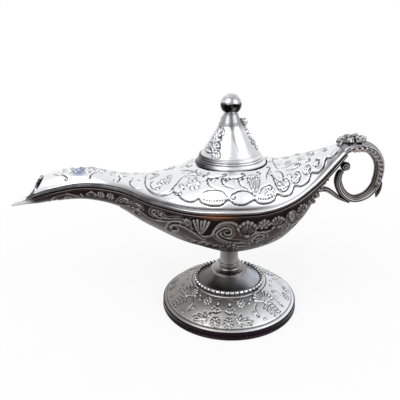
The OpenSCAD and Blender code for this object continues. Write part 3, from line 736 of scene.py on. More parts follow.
# Wave under the spout, and its two branches: points, radius, hand, turns, width and height
SPOUT_TENDRILS = [
    ([(-111, 4.6), (-108, 2.4), (-103.5, 0.9), (-98, 0.8), (-94, 2.4), (-90, 4.4)],
     1.4, -1, 0.6, 0.75, 0.7),
    ([(-101.5, 4.8), (-99, 3), (-96.5, 3.6)], 0.9, 1, 0.7, 0.6, 0.6),
    ([(-107.5, 4.4), (-105, 3.4), (-103.6, 4.4)], 0.7, 1, 0.6, 0.5, 0.5),
]


def lower_shell_ornament(side, top):
    """Scrolls, fans and leaves of the hull, and a wave with small rosettes under the spout."""
    border = curve(HULL_EDGE, 4)
    corners = [(58, HULL_BOTTOM), (-30, HULL_BOTTOM), (-66, 12)]
    side.plate(np.concatenate([border, corners]), 0.6, 0.45)
    side.ridge(border, 0.28, 0.12)
    for u, v, radius in HULL_EYES:
        side.pit(u, v, radius, 0.9)
    for points, radius, hand, turns in HULL_SCROLLS:
        side.scroll(points, radius, hand, turns, 0.62, 0.75, 0.75)
    for points, radius, hand, turns in HULL_CUTS:
        side.outline(points, radius, hand, turns, 0.8, 0.7)
    for k in range(5):
        side.ridge([(-15.8 + 0.5 * k, 9.4), (-18.0 + 1.9 * k, 2.0 - 0.5 * (k % 2))], [0.3, 0.8], 0.9)
    side.fan(9.0, 10.4, 9.4, -QUARTER_TURN, 7, 1.5)
    side.rosette(17.0, 4.3, 3.0, 7)
    side.fan(23.4, 7.6, 6.4, -QUARTER_TURN, 6, 1.5)
    side.leaf(30.4, 6.6, 5.0, 1.7, -QUARTER_TURN, 0.6)
    side.fan(37.0, 6.0, 4.8, -QUARTER_TURN, 5, 1.7)
    for v in (17.6, 20.4):
        side.ridge([6.4, v] + CIRCLE * [4.6, 1.1], 0.45, 0.6)
    for k in range(7):
        side.leaf(-24.0 + 3.7 * k, 18.8 + 0.2 * k, 3.2, 0.85, -0.75, 0.6)
        side.leaf(17.0 + 2.3 * k, 20.5 - 1.5 * k, 3.2, 0.6, -0.9, 0.6)
        side.leaf(41.5 + 2.6 * k, 5.2 - 0.35 * k, 3.0 - 0.12 * k, 0.95, -1.25, 0.8)
    for u, v, size in TAIL_LUMPS:
        side.bead(u, v, size, 1.1 * size)
    for points, *curl in SPOUT_TENDRILS:
        side.scroll(points, *curl)
    side.ridge([(-84.4, 2.6), (-81.8, 1.4), (-79.8, 2.8)], 1.3, 0.7, 1.0)
    side.bead(-82.0, 0.9, 0.9, 0.7)
    for u in (-76.4, -70.6):
        side.rosette(u, 2.6, 2.3, 7, 0.6)


LOWER_RIM, LOWER_ARC, LOWER_INSIDE = 13, 96, 15
LOWER_ROWS = 400
# Corner number of the top of the bead under the rim
BEAD_TOP = 1.9


def lower_highlight(x, index, from_rim):
    """Painted highlights: bright in the open trough of the spout and along the bead under the rim."""
    deep = from_rim / from_rim[:, -1:]
    trough = ease((-110 - x) / 8) * ease((0.34 - deep) / 0.14)
    bead = hump((index - BEAD_TOP) / 0.35) * (0.22 + 0.5 * ease((x - 20) / 25))
    return np.maximum(trough, bead)


def make_lower_shell():
    s = np.linspace(-SPOUT_REACH, TAIL_REACH, LOWER_ROWS)[:, None]
    index = corner_numbers(5, LOWER_RIM, LOWER_ARC)
    x = s + 0 * index
    k, w, d = rim_scale(x), half_width(x), keel(x)
    groove = np.minimum(RIM_GROOVE * k, d * 0.2)
    bead = RIM_BEAD * k
    foot = np.minimum(groove + bead * 1.7, d * 0.75)
    start = np.arcsin(foot / d)
    outs = [w, w, w + bead * 0.8, w + bead, w + bead * 0.6, w * np.cos(start)]
    ups = [0 * d] + [-groove - (foot - groove) * q for q in (0.0, 0.15, 0.5, 0.85)] + [-foot]
    half = outer_half(x, index, start, w, -d, outs, ups)
    heights, from_rim = ornament_heights(half, LOWER_RIM, lower_shell_ornament)
    polish_and_highlight = lower_highlight(half[..., 0], index, from_rim)
    w = np.maximum(half_width(s) - SHELL_WALL, half_width(s) * 0.35)
    d = np.maximum(THIN_EDGE, (keel(s) - SHELL_WALL) * hollow(s))
    inner = inner_half(s, np.linspace(0, QUARTER_TURN, LOWER_INSIDE), w, -d)
    # the inside is painted dark as shade, except at the open tip of the spout
    inside = ease((inner[..., 0] + 120) / 4)
    shell = cast_shell("lower_shell_cast", False, half, inner, heights, 0 * heights, polish_and_highlight, inside)
    boss_low = KEEL_HEIGHT - BOSS_DROP
    wall_middle = KEEL_HEIGHT + SHELL_WALL / 2
    pad_top = KEEL_HEIGHT + SHELL_WALL + PAD_HEIGHT
    cut(shell, cylinder(BOSS_RADIUS, boss_low, wall_middle), "UNION")
    cut(shell, cylinder(PAD_RADIUS, wall_middle, pad_top), "UNION")
    cut(shell, cylinder(BOLT_HOLE, boss_low - 1, pad_top + 1), "DIFFERENCE")
    return shell


# Turned parts
def turned_object(name, outline, sides, first, last, draw, where, shade_at=None):
    """A body of revolution from a closed outline of radii and heights. The stretch of the
    outline from first to last gets the ornament that draw puts on it, in the flat coordinates
    that where gives its points and turns, and the last argument says how dark its broad
    painted shade is."""
    radius, height = outline.T
    turn = circle(sides)[:, None]
    points = triple(radius * np.sin(turn), -radius * np.cos(turn), height + 0 * turn)
    area = points[:, first:last]
    relief = Relief(*where(area, turn + 0 * area[..., 0]))
    draw(relief)
    heights, shade = np.zeros((2, *points.shape[:2]))
    heights[:, first:last] = relief.heights() * end_fade(last - first, 2)
    if shade_at:
        shade[:, first:last] = shade_at(relief.u, relief.v)
    normals = unit(np.cross(ring_steps(points, 0), ring_steps(points, 1)))
    points = points + normals * heights[..., None]
    count = len(outline)
    here = np.arange(sides)[:, None] * count
    there = np.roll(here, -1)
    j = np.arange(count)
    k = (j + 1) % count
    faces = np.stack([here + j, there + j, there + k, here + k], -1).reshape(-1, 4).tolist()
    return make_object(name, points.reshape(-1, 3), faces, relief_marks(heights, shade=shade))


# Foot
FOOT_RADIUS = 40.0
FOOT_HEIGHT = 15.7
EDGE_HEIGHT = 4.6
DOME_INNER = 21.1
DOME_OUTER = FOOT_RADIUS - 0.8
DOME_BULGE = 1.1
FOOT_WALL = 1.6


def dome(t):
    height = FOOT_HEIGHT + (EDGE_HEIGHT - FOOT_HEIGHT) * t + DOME_BULGE * np.sin(math.pi * t)
    return pair(DOME_INNER + (DOME_OUTER - DOME_INNER) * t, height)


FOOT_TURN = math.radians(-5.7)
# Places on the foot are a radius and a turn in degrees from the middle of its half
FOOT_LINES = (22.2, 37.6)
FOOT_DAISIES = ((35.3, 5.9, 2.4), (25.5, 21.2, 2.3), (34.6, 84, 2.3))
SPRIG_ROOT = (34.8, 14.6)
SPRIG_TIPS = ((36.4, 25.5), (34.9, 27.5), (33.2, 24), (31.6, 18.5), (31, 12.5), (36.6, 17))
FOOT_STEM = ((29, 12.6), (30.4, 10), (30.6, 6), (29.6, 2.6))
FOOT_BEADS = ((24.3, 35.3), (31.7, 32.4), (26.3, 31.5), (35.8, 40), (30.2, 70), (25, 84))
FOOT_CURLS = (
    (((27.4, 41), (29.6, 36), (32.8, 36.5)), -1),
    (((28, 64), (31, 66.5), (34.5, 66)), 1),
    (((32.5, 78), (29.5, 80), (27, 76)), 1),
)


def foot_ornament(relief):
    """Daisies, drops, leaf sprigs and palmettes, mirrored about the middle of each half."""
    for radius in FOOT_LINES:
        relief.cut(radius * FINE_CIRCLE, 0.35, 0.35)
    for half in (0, 1):
        for sign in (-1, 1):
            foot_motifs(relief, half, sign)


def foot_motifs(relief, half, sign):
    def place(radius, degrees):
        turn = FOOT_TURN + math.pi * half + math.radians(sign * degrees)
        return np.array([radius * math.sin(turn), -radius * math.cos(turn)])

    def blade(root, tip, width, height=0.65):
        a, b = place(*root), place(*tip)
        step = b - a
        relief.cut([a, b], width + 0.28, 0.25)
        relief.leaf(*a, np.linalg.norm(step), width, math.atan2(step[1], step[0]), height)

    for radius, degrees, size in FOOT_DAISIES:
        relief.rosette(*place(radius, degrees), size, 8, 0.65)
    blade((26.4, 7.3), (23.8, 7.3), 0.8)
    for tip in SPRIG_TIPS:
        blade(SPRIG_ROOT, tip, 0.42)
    relief.outline([place(*point) for point in FOOT_STEM], 0, 1, 0, 0.42, 0.45)
    blade((30.6, 8.0), (28.9, 5.6), 0.3)
    blade((30.4, 10.6), (28.4, 10.4), 0.3)
    root, tip = place(28.8, 51.8), place(22.4, 56.0)
    relief.fan(*root, 8.4, math.atan2(*(tip - root)[::-1]), 9, 2.4, 0.6)
    for k in range(4):
        radius, degrees = 29.8 + 1.7 * k, 52.0 + 1.2 * k
        for away in (-6.6, 6.6):
            blade((radius, degrees), (radius + 1.2, degrees + away * (1 - 0.12 * k)), 0.42)
    blade((36.0, 56.0), (37.4, 57.0), 0.45)
    for spot in FOOT_BEADS:
        relief.bead(*place(*spot), 0.55, 0.55)
    for points, hand in FOOT_CURLS:
        relief.outline([place(*point) for point in points], 1.0, hand * sign, 0.8, 0.3, 0.4)


EDGE_HATCHES = 150
# Radii and heights of the foot's edge, from the table up: underside, moulded face and top
EDGE_LOW = [(37.0, 0.0), (39.6, 0.0)]
EDGE_FACE = [
    (39.85, 0.3), (40.0, 0.6), (40.0, 0.9), (39.85, 1.2), (39.6, 1.45), (39.5, 1.8), (39.42, 2.3),
    (39.38, 2.8), (39.36, 3.2), (39.4, 3.6), (39.65, 3.8), (39.82, 4.05), (39.8, 4.3), (39.6, 4.5),
]
EDGE_TOP = [(39.4, EDGE_HEIGHT), (37.0, EDGE_HEIGHT)]


def edge_ornament(relief):
    """A row of slanted nicks along the lower edge of the foot."""
    step = FULL_TURN * FOOT_RADIUS / EDGE_HATCHES
    for k in range(EDGE_HATCHES):
        reach = 0.5 + 0.25 * math.sin(1.7 * k)
        top = (k * step + reach, 1.5 + 0.3 * math.sin(2.3 * k))
        relief.ridge([(k * step, 0.5), top], [0.3, 0.15], 0.12)


def make_foot_edge():
    """Dark moulding round the foot, with a bead at its top."""
    first = len(EDGE_LOW)
    return turned_object(
        "foot_edge_cast", np.array(EDGE_LOW + EDGE_FACE + EDGE_TOP), sides=560,
        first=first, last=first + len(EDGE_FACE), draw=edge_ornament,
        where=lambda area, turn: (turn * FOOT_RADIUS, area[..., 2]),
    )


def make_foot():
    outer = dome(np.linspace(0, 1, 56))
    share = np.linspace(1, 0, 8)
    inner = dome(share) - pair(FOOT_WALL * (0.5 + 0.5 * share), FOOT_WALL + 0 * share)
    inner[:, 1] = np.maximum(EDGE_HEIGHT, inner[:, 1])
    plate = [
        (BOLT_HOLE, FOOT_HEIGHT - FOOT_WALL), (BOLT_HOLE, FOOT_HEIGHT), (DOME_INNER - 1, FOOT_HEIGHT),
    ]
    outline = np.concatenate([plate, outer, inner])[::-1]
    first = len(inner)
    return turned_object(
        "foot_base_cast", outline, sides=460, first=first, last=first + len(outer),
        draw=foot_ornament, where=lambda area, turn: (area[..., 0], area[..., 1]),
    )


# Lid
FLANGE_TOP = SEAT_HEIGHT + 5
CONE_HEIGHT = 21.4
CONE_FOOT = 16.3
CONE_TIP = 3.9
CONE_CURVE = 1.25
CONE_WEB = 4.0
LID_WALL = 1.4
STUD_HOLE = 1.65
CONE_MIDDLE = 10.0
# Each spray's turn from the front, and whether it ends in a bud that stands off the cone
SPRAYS = ((-0.85, False), (1.70, True), (3.75, True))
# On a spray, along from its middle and up: flowers with their size and height, curls, leaves
# (height of the root, length and turn) and pits
SPRAY_STEM = np.array([(2.8, 1.2), (1, 4.4), (-0.4, 8.4), (0.9, 13.4)])
SPRAY_FLOWERS = ((-0.2, 10.4, 2.6, 0.95), (1.4, 5.4, 2.1, 0.85))
SPRAY_CURLS = (
    (np.array([(0.6, 12.2), (2, 13.8), (3.6, 13)]), 0.9),
    (np.array([(1.8, 3.4), (3.6, 3.4), (4.4, 1.9)]), 0.8),
)
SPRAY_LEAVES = ((7.4, 4, 2.75), (5.2, 4.4, 2.9), (3, 3.6, 3.05), (12.4, 2.8, 2.2), (7.8, 3.2, 0.5))
SPRAY_PITS = ((-2.9, 9.2), (2.7, 10.4), (-1.8, 6.4), (0.4, 3.4), (3.6, 5.6), (-1.4, 13), (1.8, 8.2))
SPRAY_BUD = np.array([(0.8, 12), (1.2, 14), (0.4, 16)])
BUD_BEADS = ((0.2, 16.6, 1.9, 2.9), (-0.2, 10.4, 1.3, 1.9), (1.2, 5.4, 1.2, 1.5))


def cone_radius(t):
    return CONE_TIP + (CONE_FOOT - CONE_TIP) * (1 - t) ** CONE_CURVE


def cone_ornament(relief):
    """Three climbing sprays: a stem with flowers, leaves, curls and a bud."""
    for turn, bud in SPRAYS:
        u = turn * CONE_MIDDLE
        spot = np.array([u, 0])
        relief.ridge(curve(spot + SPRAY_STEM), 0.45, 0.9)
        for along, v, size, height in SPRAY_FLOWERS:
            relief.rosette(u + along, v, size, 6, height)
            relief.cut(spot + [along, v] + (size + 0.5) * CIRCLE, 0.5, 0.4)
        for points, radius in SPRAY_CURLS:
            relief.scroll(spot + points, radius, -1, 0.8, 0.5, 0.8, 0.4)
        for v, length, way in SPRAY_LEAVES:
            root = spot + [0.2, v]
            relief.cut([root, root + length * towards(way)], 1.1, 0.35)
            relief.leaf(*root, length, 0.75, way, 1.1)
        for along, v in SPRAY_PITS:
            relief.pit(u + along, v, 0.7, 0.7)
        if bud:
            relief.ridge(spot + SPRAY_BUD, [0.7, 0.8, 1.2], 1.9)
            for along, v, radius, height in BUD_BEADS:
                relief.bead(u + along, v, radius, height)


def cone_painted_shade(u, v):
    """Painted shade under the ball, and one long painted dark reflection that runs down the front."""
    painted_reflection = np.interp(v, [2.0, 6.5, 9.0, 14.0, 18.5], [3.6, 2.7, 1.9, 1.2, -0.4])
    width = np.interp(v, [2.0, 8.0, 10.0, 12.5, 19.0], [0.2, 0.35, 1.0, 0.7, 2.2])
    return 0.7 * ease((v - 12.5) / 4) + 0.6 * hump((u - painted_reflection) / width) * ease((v - 1) / 3)


def unrolled_cone(area, turn):
    """Along the cone's middle circle, cut open behind, and up from its foot."""
    return ((turn + 1.5) % FULL_TURN - 1.5) * CONE_MIDDLE, area[..., 2] - FLANGE_TOP


def make_cone():
    t = np.linspace(0, 1, 62)
    ring = np.exp(-((t - 0.76) / 0.022) ** 4) * 0.4
    low_line = hump((t - 0.035) / 0.018) * 0.35
    outer = pair(cone_radius(t) + ring - low_line, FLANGE_TOP + CONE_HEIGHT * t)
    web = 1 - CONE_WEB / CONE_HEIGHT
    t = np.linspace(web, 0, 9)
    inner = pair(cone_radius(t) - LID_WALL, FLANGE_TOP + CONE_HEIGHT * t)
    top = [(STUD_HOLE, FLANGE_TOP + CONE_HEIGHT), (STUD_HOLE, FLANGE_TOP + CONE_HEIGHT * web)]
    outline = np.concatenate([outer, top, inner])
    return turned_object(
        "lid_cone_cast", outline, sides=250, first=0, last=len(outer),
        draw=cone_ornament, where=unrolled_cone, shade_at=cone_painted_shade,
    )


# Radii and heights of the flange over its seat, below and above the bevel
FLANGE_LOW = [(14.75, 0.0), (19.2, 0.0)]
FLANGE_EDGE = [(16.8, 4.0), (16.8, 4.2), (17.1, 4.4), (17.0, 4.8), (16.7, 5.0), (14.75, 5.0)]
FLANGE_GROOVES = (3.5, 2.35)
FLANGE_MIDDLE = 20


def flange_ornament(relief):
    for height in FLANGE_GROOVES:
        relief.cut([(-1.0, height), (130.0, height)], 0.36, 0.5)


def make_flange():
    """Bevelled flange of the lid, slightly hollow, with two turned grooves near its top."""
    t = np.linspace(0, 1, 34)
    bevel = pair(19.5 - 2.3 * t - 0.3 * np.sin(math.pi * t), 0.4 + 3.5 * t)
    outline = np.concatenate([FLANGE_LOW, bevel, FLANGE_EDGE]) + [0, SEAT_HEIGHT]
    first = len(FLANGE_LOW)
    return turned_object(
        "lid_flange_cast", outline, sides=240, first=first, last=first + len(bevel),
        draw=flange_ornament,
        where=lambda area, turn: (turn * FLANGE_MIDDLE, area[..., 2] - SEAT_HEIGHT),
        # painted shade along the bottom of the bevel
        shade_at=lambda u, v: 0.8 * ease((0.9 - v) / 0.5),
    )


# Handle
STRAP_ROOT = 8.6
STRAP_HALF = 2.6
STRAP_END = 2.4
RING_X = TAIL_REACH + 9.8
RING_Z = RIM_HEIGHT + 10.8
RING_SPAN = np.array([21.0, 30.0]) / 2
# Rows of the ring's lines: place in half spans from its middle, shares of the strap's root
# width and of its half thickness
RING_LINES = np.array([
    [-0.60,  1.00, 0.92, 1.00],
    [ 0.00,  1.01, 0.84, 0.90],
    [ 0.52,  0.84, 0.68, 0.88],
    [ 0.91,  0.46, 0.54, 0.87],
    [ 1.00,  0.00, 0.45, 0.83],
    [ 0.86, -0.48, 0.43, 0.79],
    [ 0.45, -0.86, 0.42, 0.67],
    [-0.17, -1.00, 0.41, 0.64],
    [-0.72, -0.79, 0.40, 0.68],
    [-1.02, -0.38, 0.38, 0.66],
    [-1.00, -0.06, 0.34, 0.56],
    [-0.87,  0.08, 0.30, 0.46],
])


def rim_normal(x):
    a, b = hull_point(x, 0.0, 0.0), hull_point(x, 0.0, 1.0)
    return (b - a)[[0, 2]]


class Strap:
    """A flat band along a curved line in the middle plane of the lamp."""

    def __init__(self, points, widths, halves, groove=0.22, root=None):
        self.points = np.asarray(points, float)
        self.widths = np.asarray(widths, float)
        self.halves = np.asarray(halves, float)
        self.groove = groove
        self.root = root
        self.last = len(points) - 1
        self.places = np.arange(len(points))
        self.fine = np.linspace(0, self.last, 40 * self.last + 1)
        self.run = running(np.linalg.norm(np.diff(self.point(self.fine), axis=0), axis=1))

    def value(self, values, s):
        return smooth(self.places, values, s)

    def point(self, s):
        return pair(*(self.value(column, s) for column in self.points.T))

    def normal(self, s):
        d = self.point(np.minimum(s + 0.05, self.last)) - self.point(np.maximum(s - 0.05, 0))
        d = unit(d)
        n = pair(-d[..., 1], d[..., 0])
        if self.root is not None:
            share = ease(np.asarray(s) / 0.3)[..., None]
            n = unit(n * share + self.root * (1 - share))
        return n

    def at(self, run):
        return np.interp(run, self.run, self.fine)

    def place(self, s, across, out):
        p = self.point(s) + out[..., None] * self.normal(s)
        return triple(p[..., 0], across, p[..., 1])

    def section(self, s, sides):
        """Offsets across and outwards round the section, evenly spaced."""
        a = np.linspace(0, FULL_TURN, 721)
        flat = ease(s / 2.5) if self.root is not None else 1.0
        c, d = np.cos(a), np.sin(a)
        dip = 1 - self.groove * flat * np.sin(2 * a) ** 6
        y = self.value(self.widths, s) * np.sign(c) * np.abs(c) ** (1 - 0.35 * flat)
        q = self.value(self.halves, s) * np.sign(d) * np.abs(d) ** (1 - 0.5 * flat) * dip
        size = running(np.hypot(np.diff(y), np.diff(q)))
        even = np.linspace(0, size[-1], sides, endpoint=False)
        return np.interp(even, size, y), np.interp(even, size, q)

    def body(self, name, steps, sides, draw, shine):
        runs = np.linspace(0, self.run[-1], steps)
        s = self.at(runs)
        sections = np.array([self.section(v, sides) for v in s])
        y, q = sections[:, 0], sections[:, 1]
        wide = self.value(self.widths, s)[:, None]
        points = self.place(s[:, None] + 0 * y, y, q)
        runs = runs[:, None] + 0 * y
        edge = Relief(runs, q)
        face = Relief(runs, y)
        draw(edge, face, self)
        on_edge = ease((np.abs(y) / wide - 0.86) / 0.1)
        heights = edge.heights() * on_edge + face.heights() * (1 - on_edge)
        heights = heights * end_fade(steps, 4)[:, None]
        normals = unit(np.cross(ring_steps(points, 1), np.gradient(points, axis=0)))
        points = points + normals * heights[..., None]
        faces = grid_faces(steps, sides, loop=True) + [cap(0, sides, True), cap((steps - 1) * sides, sides)]
        outward = q / np.maximum(self.value(self.halves, s)[:, None], 0.1)
        marks = relief_marks(heights, polish_and_highlight=shine(runs, outward, self))
        return make_object(name, points.reshape(-1, 3), faces, marks)


def make_ring_strap():
    root = rim_normal(TAIL_REACH)
    lift = (crown(TAIL_REACH) - keel(TAIL_REACH)) / 2
    half = (crown(TAIL_REACH) + keel(TAIL_REACH)) / 2
    root_point = np.array([TAIL_REACH, rim_z(TAIL_REACH)]) + lift * root
    heading = np.array([root[1], -root[0]])
    bend = (RING_X - TAIL_REACH) * np.array([0.18, 0.13])
    ring = np.array([RING_X, RING_Z]) + RING_LINES[:, :2] * RING_SPAN
    points = np.concatenate([[root_point + 0.12 * heading, root_point + bend], ring])
    widths = np.concatenate([[STRAP_ROOT] * 2, np.maximum(STRAP_END, RING_LINES[:, 2] * STRAP_ROOT)])
    halves = np.concatenate([[half] * 2, RING_LINES[:, 3] * STRAP_HALF])
    return Strap(points, widths, halves, root=root)


# Places on the strap are numbers of its points. The smooth face of its side ends at a share
# of the half thickness.
SPUR_PLACE = 7.0
CREST_PLACE = 2.3
SMOOTH_SHARE = 0.34
SEAT_GAP = 0.05
# The rim's moulding carried on over the root of the strap: run along it and height on its side
RIM_LINES_ON_STRAP = [
    [(0.0, 0.4), (4.0, 0.9), (8.0, 1.4), (13.0, 1.8)],
    [(0.0, -0.9), (4.0, -0.3), (8.0, 0.4), (12.5, 0.88)],
]


def spur_run(strap):
    return np.interp(SPUR_PLACE, strap.fine, strap.run)


def ring_ornament(edge, face, strap):
    """Leaves along the inner part of the ring's sides, then lines round its lower part."""
    spur = spur_run(strap)
    end = strap.run[-1]

    def lines(side, values, first, last, count, shares, width, depth):
        runs = np.linspace(first, last, count)
        reach = strap.value(values, strap.at(runs))
        for share in shares:
            side.cut(pair(runs, share * reach), width, depth)

    for run in np.arange(4.5, spur - 2, 2.7):
        edge.leaf(run, -2.1, 3.2, 0.7, 0.65, 1.0)
        edge.leaf(run + 1.4, 0.5, 2.6, 0.6, -0.95, 1.0)
        edge.pit(run + 0.3, -0.2, 0.55, 0.7)
    for line in RIM_LINES_ON_STRAP:
        edge.cut(curve(line), 0.4, 0.55)
    lines(edge, strap.halves, 12, spur, 60, (SMOOTH_SHARE, -0.86), 0.35, 0.45)
    lines(edge, strap.halves, spur + 1, end, 40, (-0.36, 0.36), 0.34, 0.5)
    lines(face, strap.widths, 10, end, 90, (-0.62, 0.62), 0.35, 0.35)
    middle = np.linspace(10, end, 90)
    face.ridge(pair(middle, 0 * middle), 0.8, 0.5)


def ring_shine(run, outward, strap):
    """Smooth and bright at the root and on the outer part, then only along thin lines."""
    spur = spur_run(strap)
    border = np.interp(run, [0, 12.5], [-0.25, SMOOTH_SHARE])
    upper = 0.9 * ease((outward - border - 0.05) / 0.12)
    lower = 0.32 * hump((outward + 0.72) / 0.18) + 0.2 * hump(outward / 0.16)
    share = ease((run - spur) / 3)
    return upper * (1 - share) + lower * share


def plain_shine(run, outward, strap):
    return 0.5 * hump((outward - 0.5) / 0.25)


CARVING_DEPTH = 0.42


def ball_object(name, centre, radius, around=72, across=44):
    """A carved ball: a flower of grooves on each side round a small boss."""
    turn = circle(around)[None, :]
    tilt = np.linspace(0.02, math.pi - 0.02, across)[:, None]
    side = np.minimum(tilt, math.pi - tilt)
    petals = (1 - np.abs(np.sin(2.5 * turn))) ** 3 * ease((side - 0.45) / 0.2)
    heights = -CARVING_DEPTH * np.maximum(petals, hump((side - 0.45) / 0.12))
    size = radius + heights
    out = triple(np.sin(tilt) * np.cos(turn), -np.cos(tilt) + 0 * turn, np.sin(tilt) * np.sin(turn))
    points = centre + size[..., None] * out
    rows, cols = heights.shape
    faces = grid_faces(rows, cols, flip=True, loop=True) + [cap(0, cols), cap((rows - 1) * cols, cols, True)]
    return make_object(name, points.reshape(-1, 3), faces, relief_marks(heights, polish_and_highlight=0.35))


def crest_reach(turn):
    """Outline of the crest: six lobes, and a leaf that reaches down to the hull."""
    lobes = 5.2 + 0.7 * np.cos(6 * turn) + 0.25 * np.cos(18 * turn)
    return lobes + 3.2 * hump((np.abs(turn) - math.pi) / 0.42)


def crest_ornament(relief):
    """Six petals with a vein and two curled beads on each side, and a leaf below."""
    for k in range(6):
        tip = towards(math.pi * k / 3)
        relief.ridge([1.6 * tip, 3.4 * tip, 5.0 * tip], [0.7, 1.4, 0.9], 1.7 + 0.4 * (k % 2))
        relief.cut([1.8 * tip, 4.8 * tip], 0.35, 0.8)
        for off in (-0.27, 0.27):
            lobe = 4.3 * towards(math.pi * k / 3 + off)
            for spot, size, height, eye in ((lobe, 0.85, 1.1, 0.5), (0.66 * lobe, 0.8, 1.4, 0.45)):
                relief.bead(*spot, size, height)
                relief.pit(*spot, eye, 1.3)
        groove = towards(math.pi * (k + 0.5) / 3)
        relief.cut([1.2 * groove, 5.6 * groove], 0.6, 1.0)
    relief.bead(0, 0, 1.7, 2.2)
    for k in range(4):
        for off in (-0.7, 0.7):
            relief.leaf(-5.0 - 0.9 * k, 0.0, 2.6, 0.7, math.pi + off, 1.0)


def make_crest(strap):
    """A rosette of lobed petals that lies on the outer face of the strap."""
    turns, rings = 132, 34
    turn = np.linspace(-math.pi, math.pi, turns, endpoint=False)[None, :]
    share = np.linspace(0.01, 1, rings)[:, None]
    size = crest_reach(turn) * share
    u, v = size * np.cos(turn), size * np.sin(turn)
    relief = Relief(u, v)
    crest_ornament(relief)
    heights = relief.heights()
    rise = np.maximum(0.1, 1.3 * np.sqrt(np.clip(1 - share**4, 0, 1)) + heights * ease((1 - share) / 0.12))
    s = strap.at(np.interp(CREST_PLACE, strap.fine, strap.run) + u)
    seat = strap.value(strap.halves, s) + SEAT_GAP
    layers = [strap.place(s, v, seat + rise), strap.place(s, v, seat - 0.02)]
    points = np.concatenate([layer.reshape(-1, 3) for layer in layers])
    first = rings * turns
    faces = grid_faces(rings, turns, loop=True) + grid_faces(rings, turns, first, True, True)
    faces += [cap(0, turns, True), cap(first, turns)]
    rim = first - turns
    for j in range(turns):
        k = (j + 1) % turns
        faces.append((rim + j, rim + k, first + rim + k, first + rim + j))
    return make_object("handle_crest_cast", points, faces, relief_marks(heights, first))


SPUR_HEIGHT = 3.2
# Rows of the spur: place on the strap, then rise, half width and half thickness as shares of
# its height
SPUR_LINES = np.array([
    [6.60, 0.17, 0.50, 0.09],
    [6.95, 0.30, 0.75, 0.20],
    [7.30, 0.50, 0.70, 0.28],
    [7.60, 0.95, 0.16, 0.09],
])
STRUT_HALF = 1.3
STRUT_WIDTH = 2.5
STRUT_GAP = 0.45
# Where the strut stands on the hull, as a share of the tail, and joins and ends on the strap
STRUT_START = 0.71
STRUT_JOINT = 9.95
STRUT_STOP = 9.2
CURL_RADIUS = 2.7


def beside(strap, place, rise):
    return strap.point(place) + (strap.value(strap.halves, place) + rise) * strap.normal(place)


def make_spur(strap):
    points = [beside(strap, place, rise * SPUR_HEIGHT) for place, rise in SPUR_LINES[:, :2]]
    widths, halves = SPUR_LINES[:, 2:].T * SPUR_HEIGHT
    body = Strap(points, widths, halves, groove=0)

    def draw(edge, face, spur):
        for share in (-0.5, 0, 0.5):
            face.cut([(0.5, share * 1.6), (spur.run[-1] - 0.6, share * 0.8)], 0.3, 0.3)

    return body.body("handle_spur_cast", steps=40, sides=48, draw=draw, shine=plain_shine)


def make_strut(strap):
    place = STRUT_START * TAIL_REACH
    up = rim_normal(place)
    start = np.array([place, rim_z(place)]) - (keel(place) + STRUT_HALF) * up
    halves = STRUT_HALF * np.array([1, 1, 0.8, 0.3])
    joint = beside(strap, STRUT_JOINT, halves[2] + STRUT_GAP)
    end = beside(strap, STRUT_STOP, halves[3] + STRUT_GAP)
    points = [start, start + [0.45 * (joint[0] - start[0]), 0.35 * STRUT_HALF], joint, end]
    body = Strap(points, STRUT_WIDTH * np.array([0.96, 1, 0.92, 0.64]), halves, groove=0.2)

    def draw(edge, face, strut):
        edge.cut([(0.5, 0), (strut.run[-1] - 0.5, 0)], 0.32, 0.4)
        for share in (-0.45, 0.45):
            face.cut([(0.5, share * 2.4), (strut.run[-1] - 0.5, share * 1.6)], 0.35, 0.35)

    return body.body("handle_strut_cast", steps=70, sides=56, draw=draw, shine=plain_shine)


def make_curl_ball(strap):
    tip = strap.point(strap.last)
    normal = strap.normal(strap.last)
    centre = tip + (CURL_RADIUS + SEAT_GAP) * np.array([normal[1], -normal[0]])
    return ball_object("handle_curl_ball_cast", np.array([centre[0], 0, centre[1]]), CURL_RADIUS)


# Materials
# Colours that several of them share: painted shade inside the spout and well, recesses with
# patina and painted shade, and rubbed edges with painted highlights
INSIDE_SHADE = (0.012, 0.011, 0.011, 1)
DARK = (0.025, 0.025, 0.028, 1)
PALE = (0.92, 0.92, 0.94, 1)


def grey(level):
    return (level, level, level, 1)


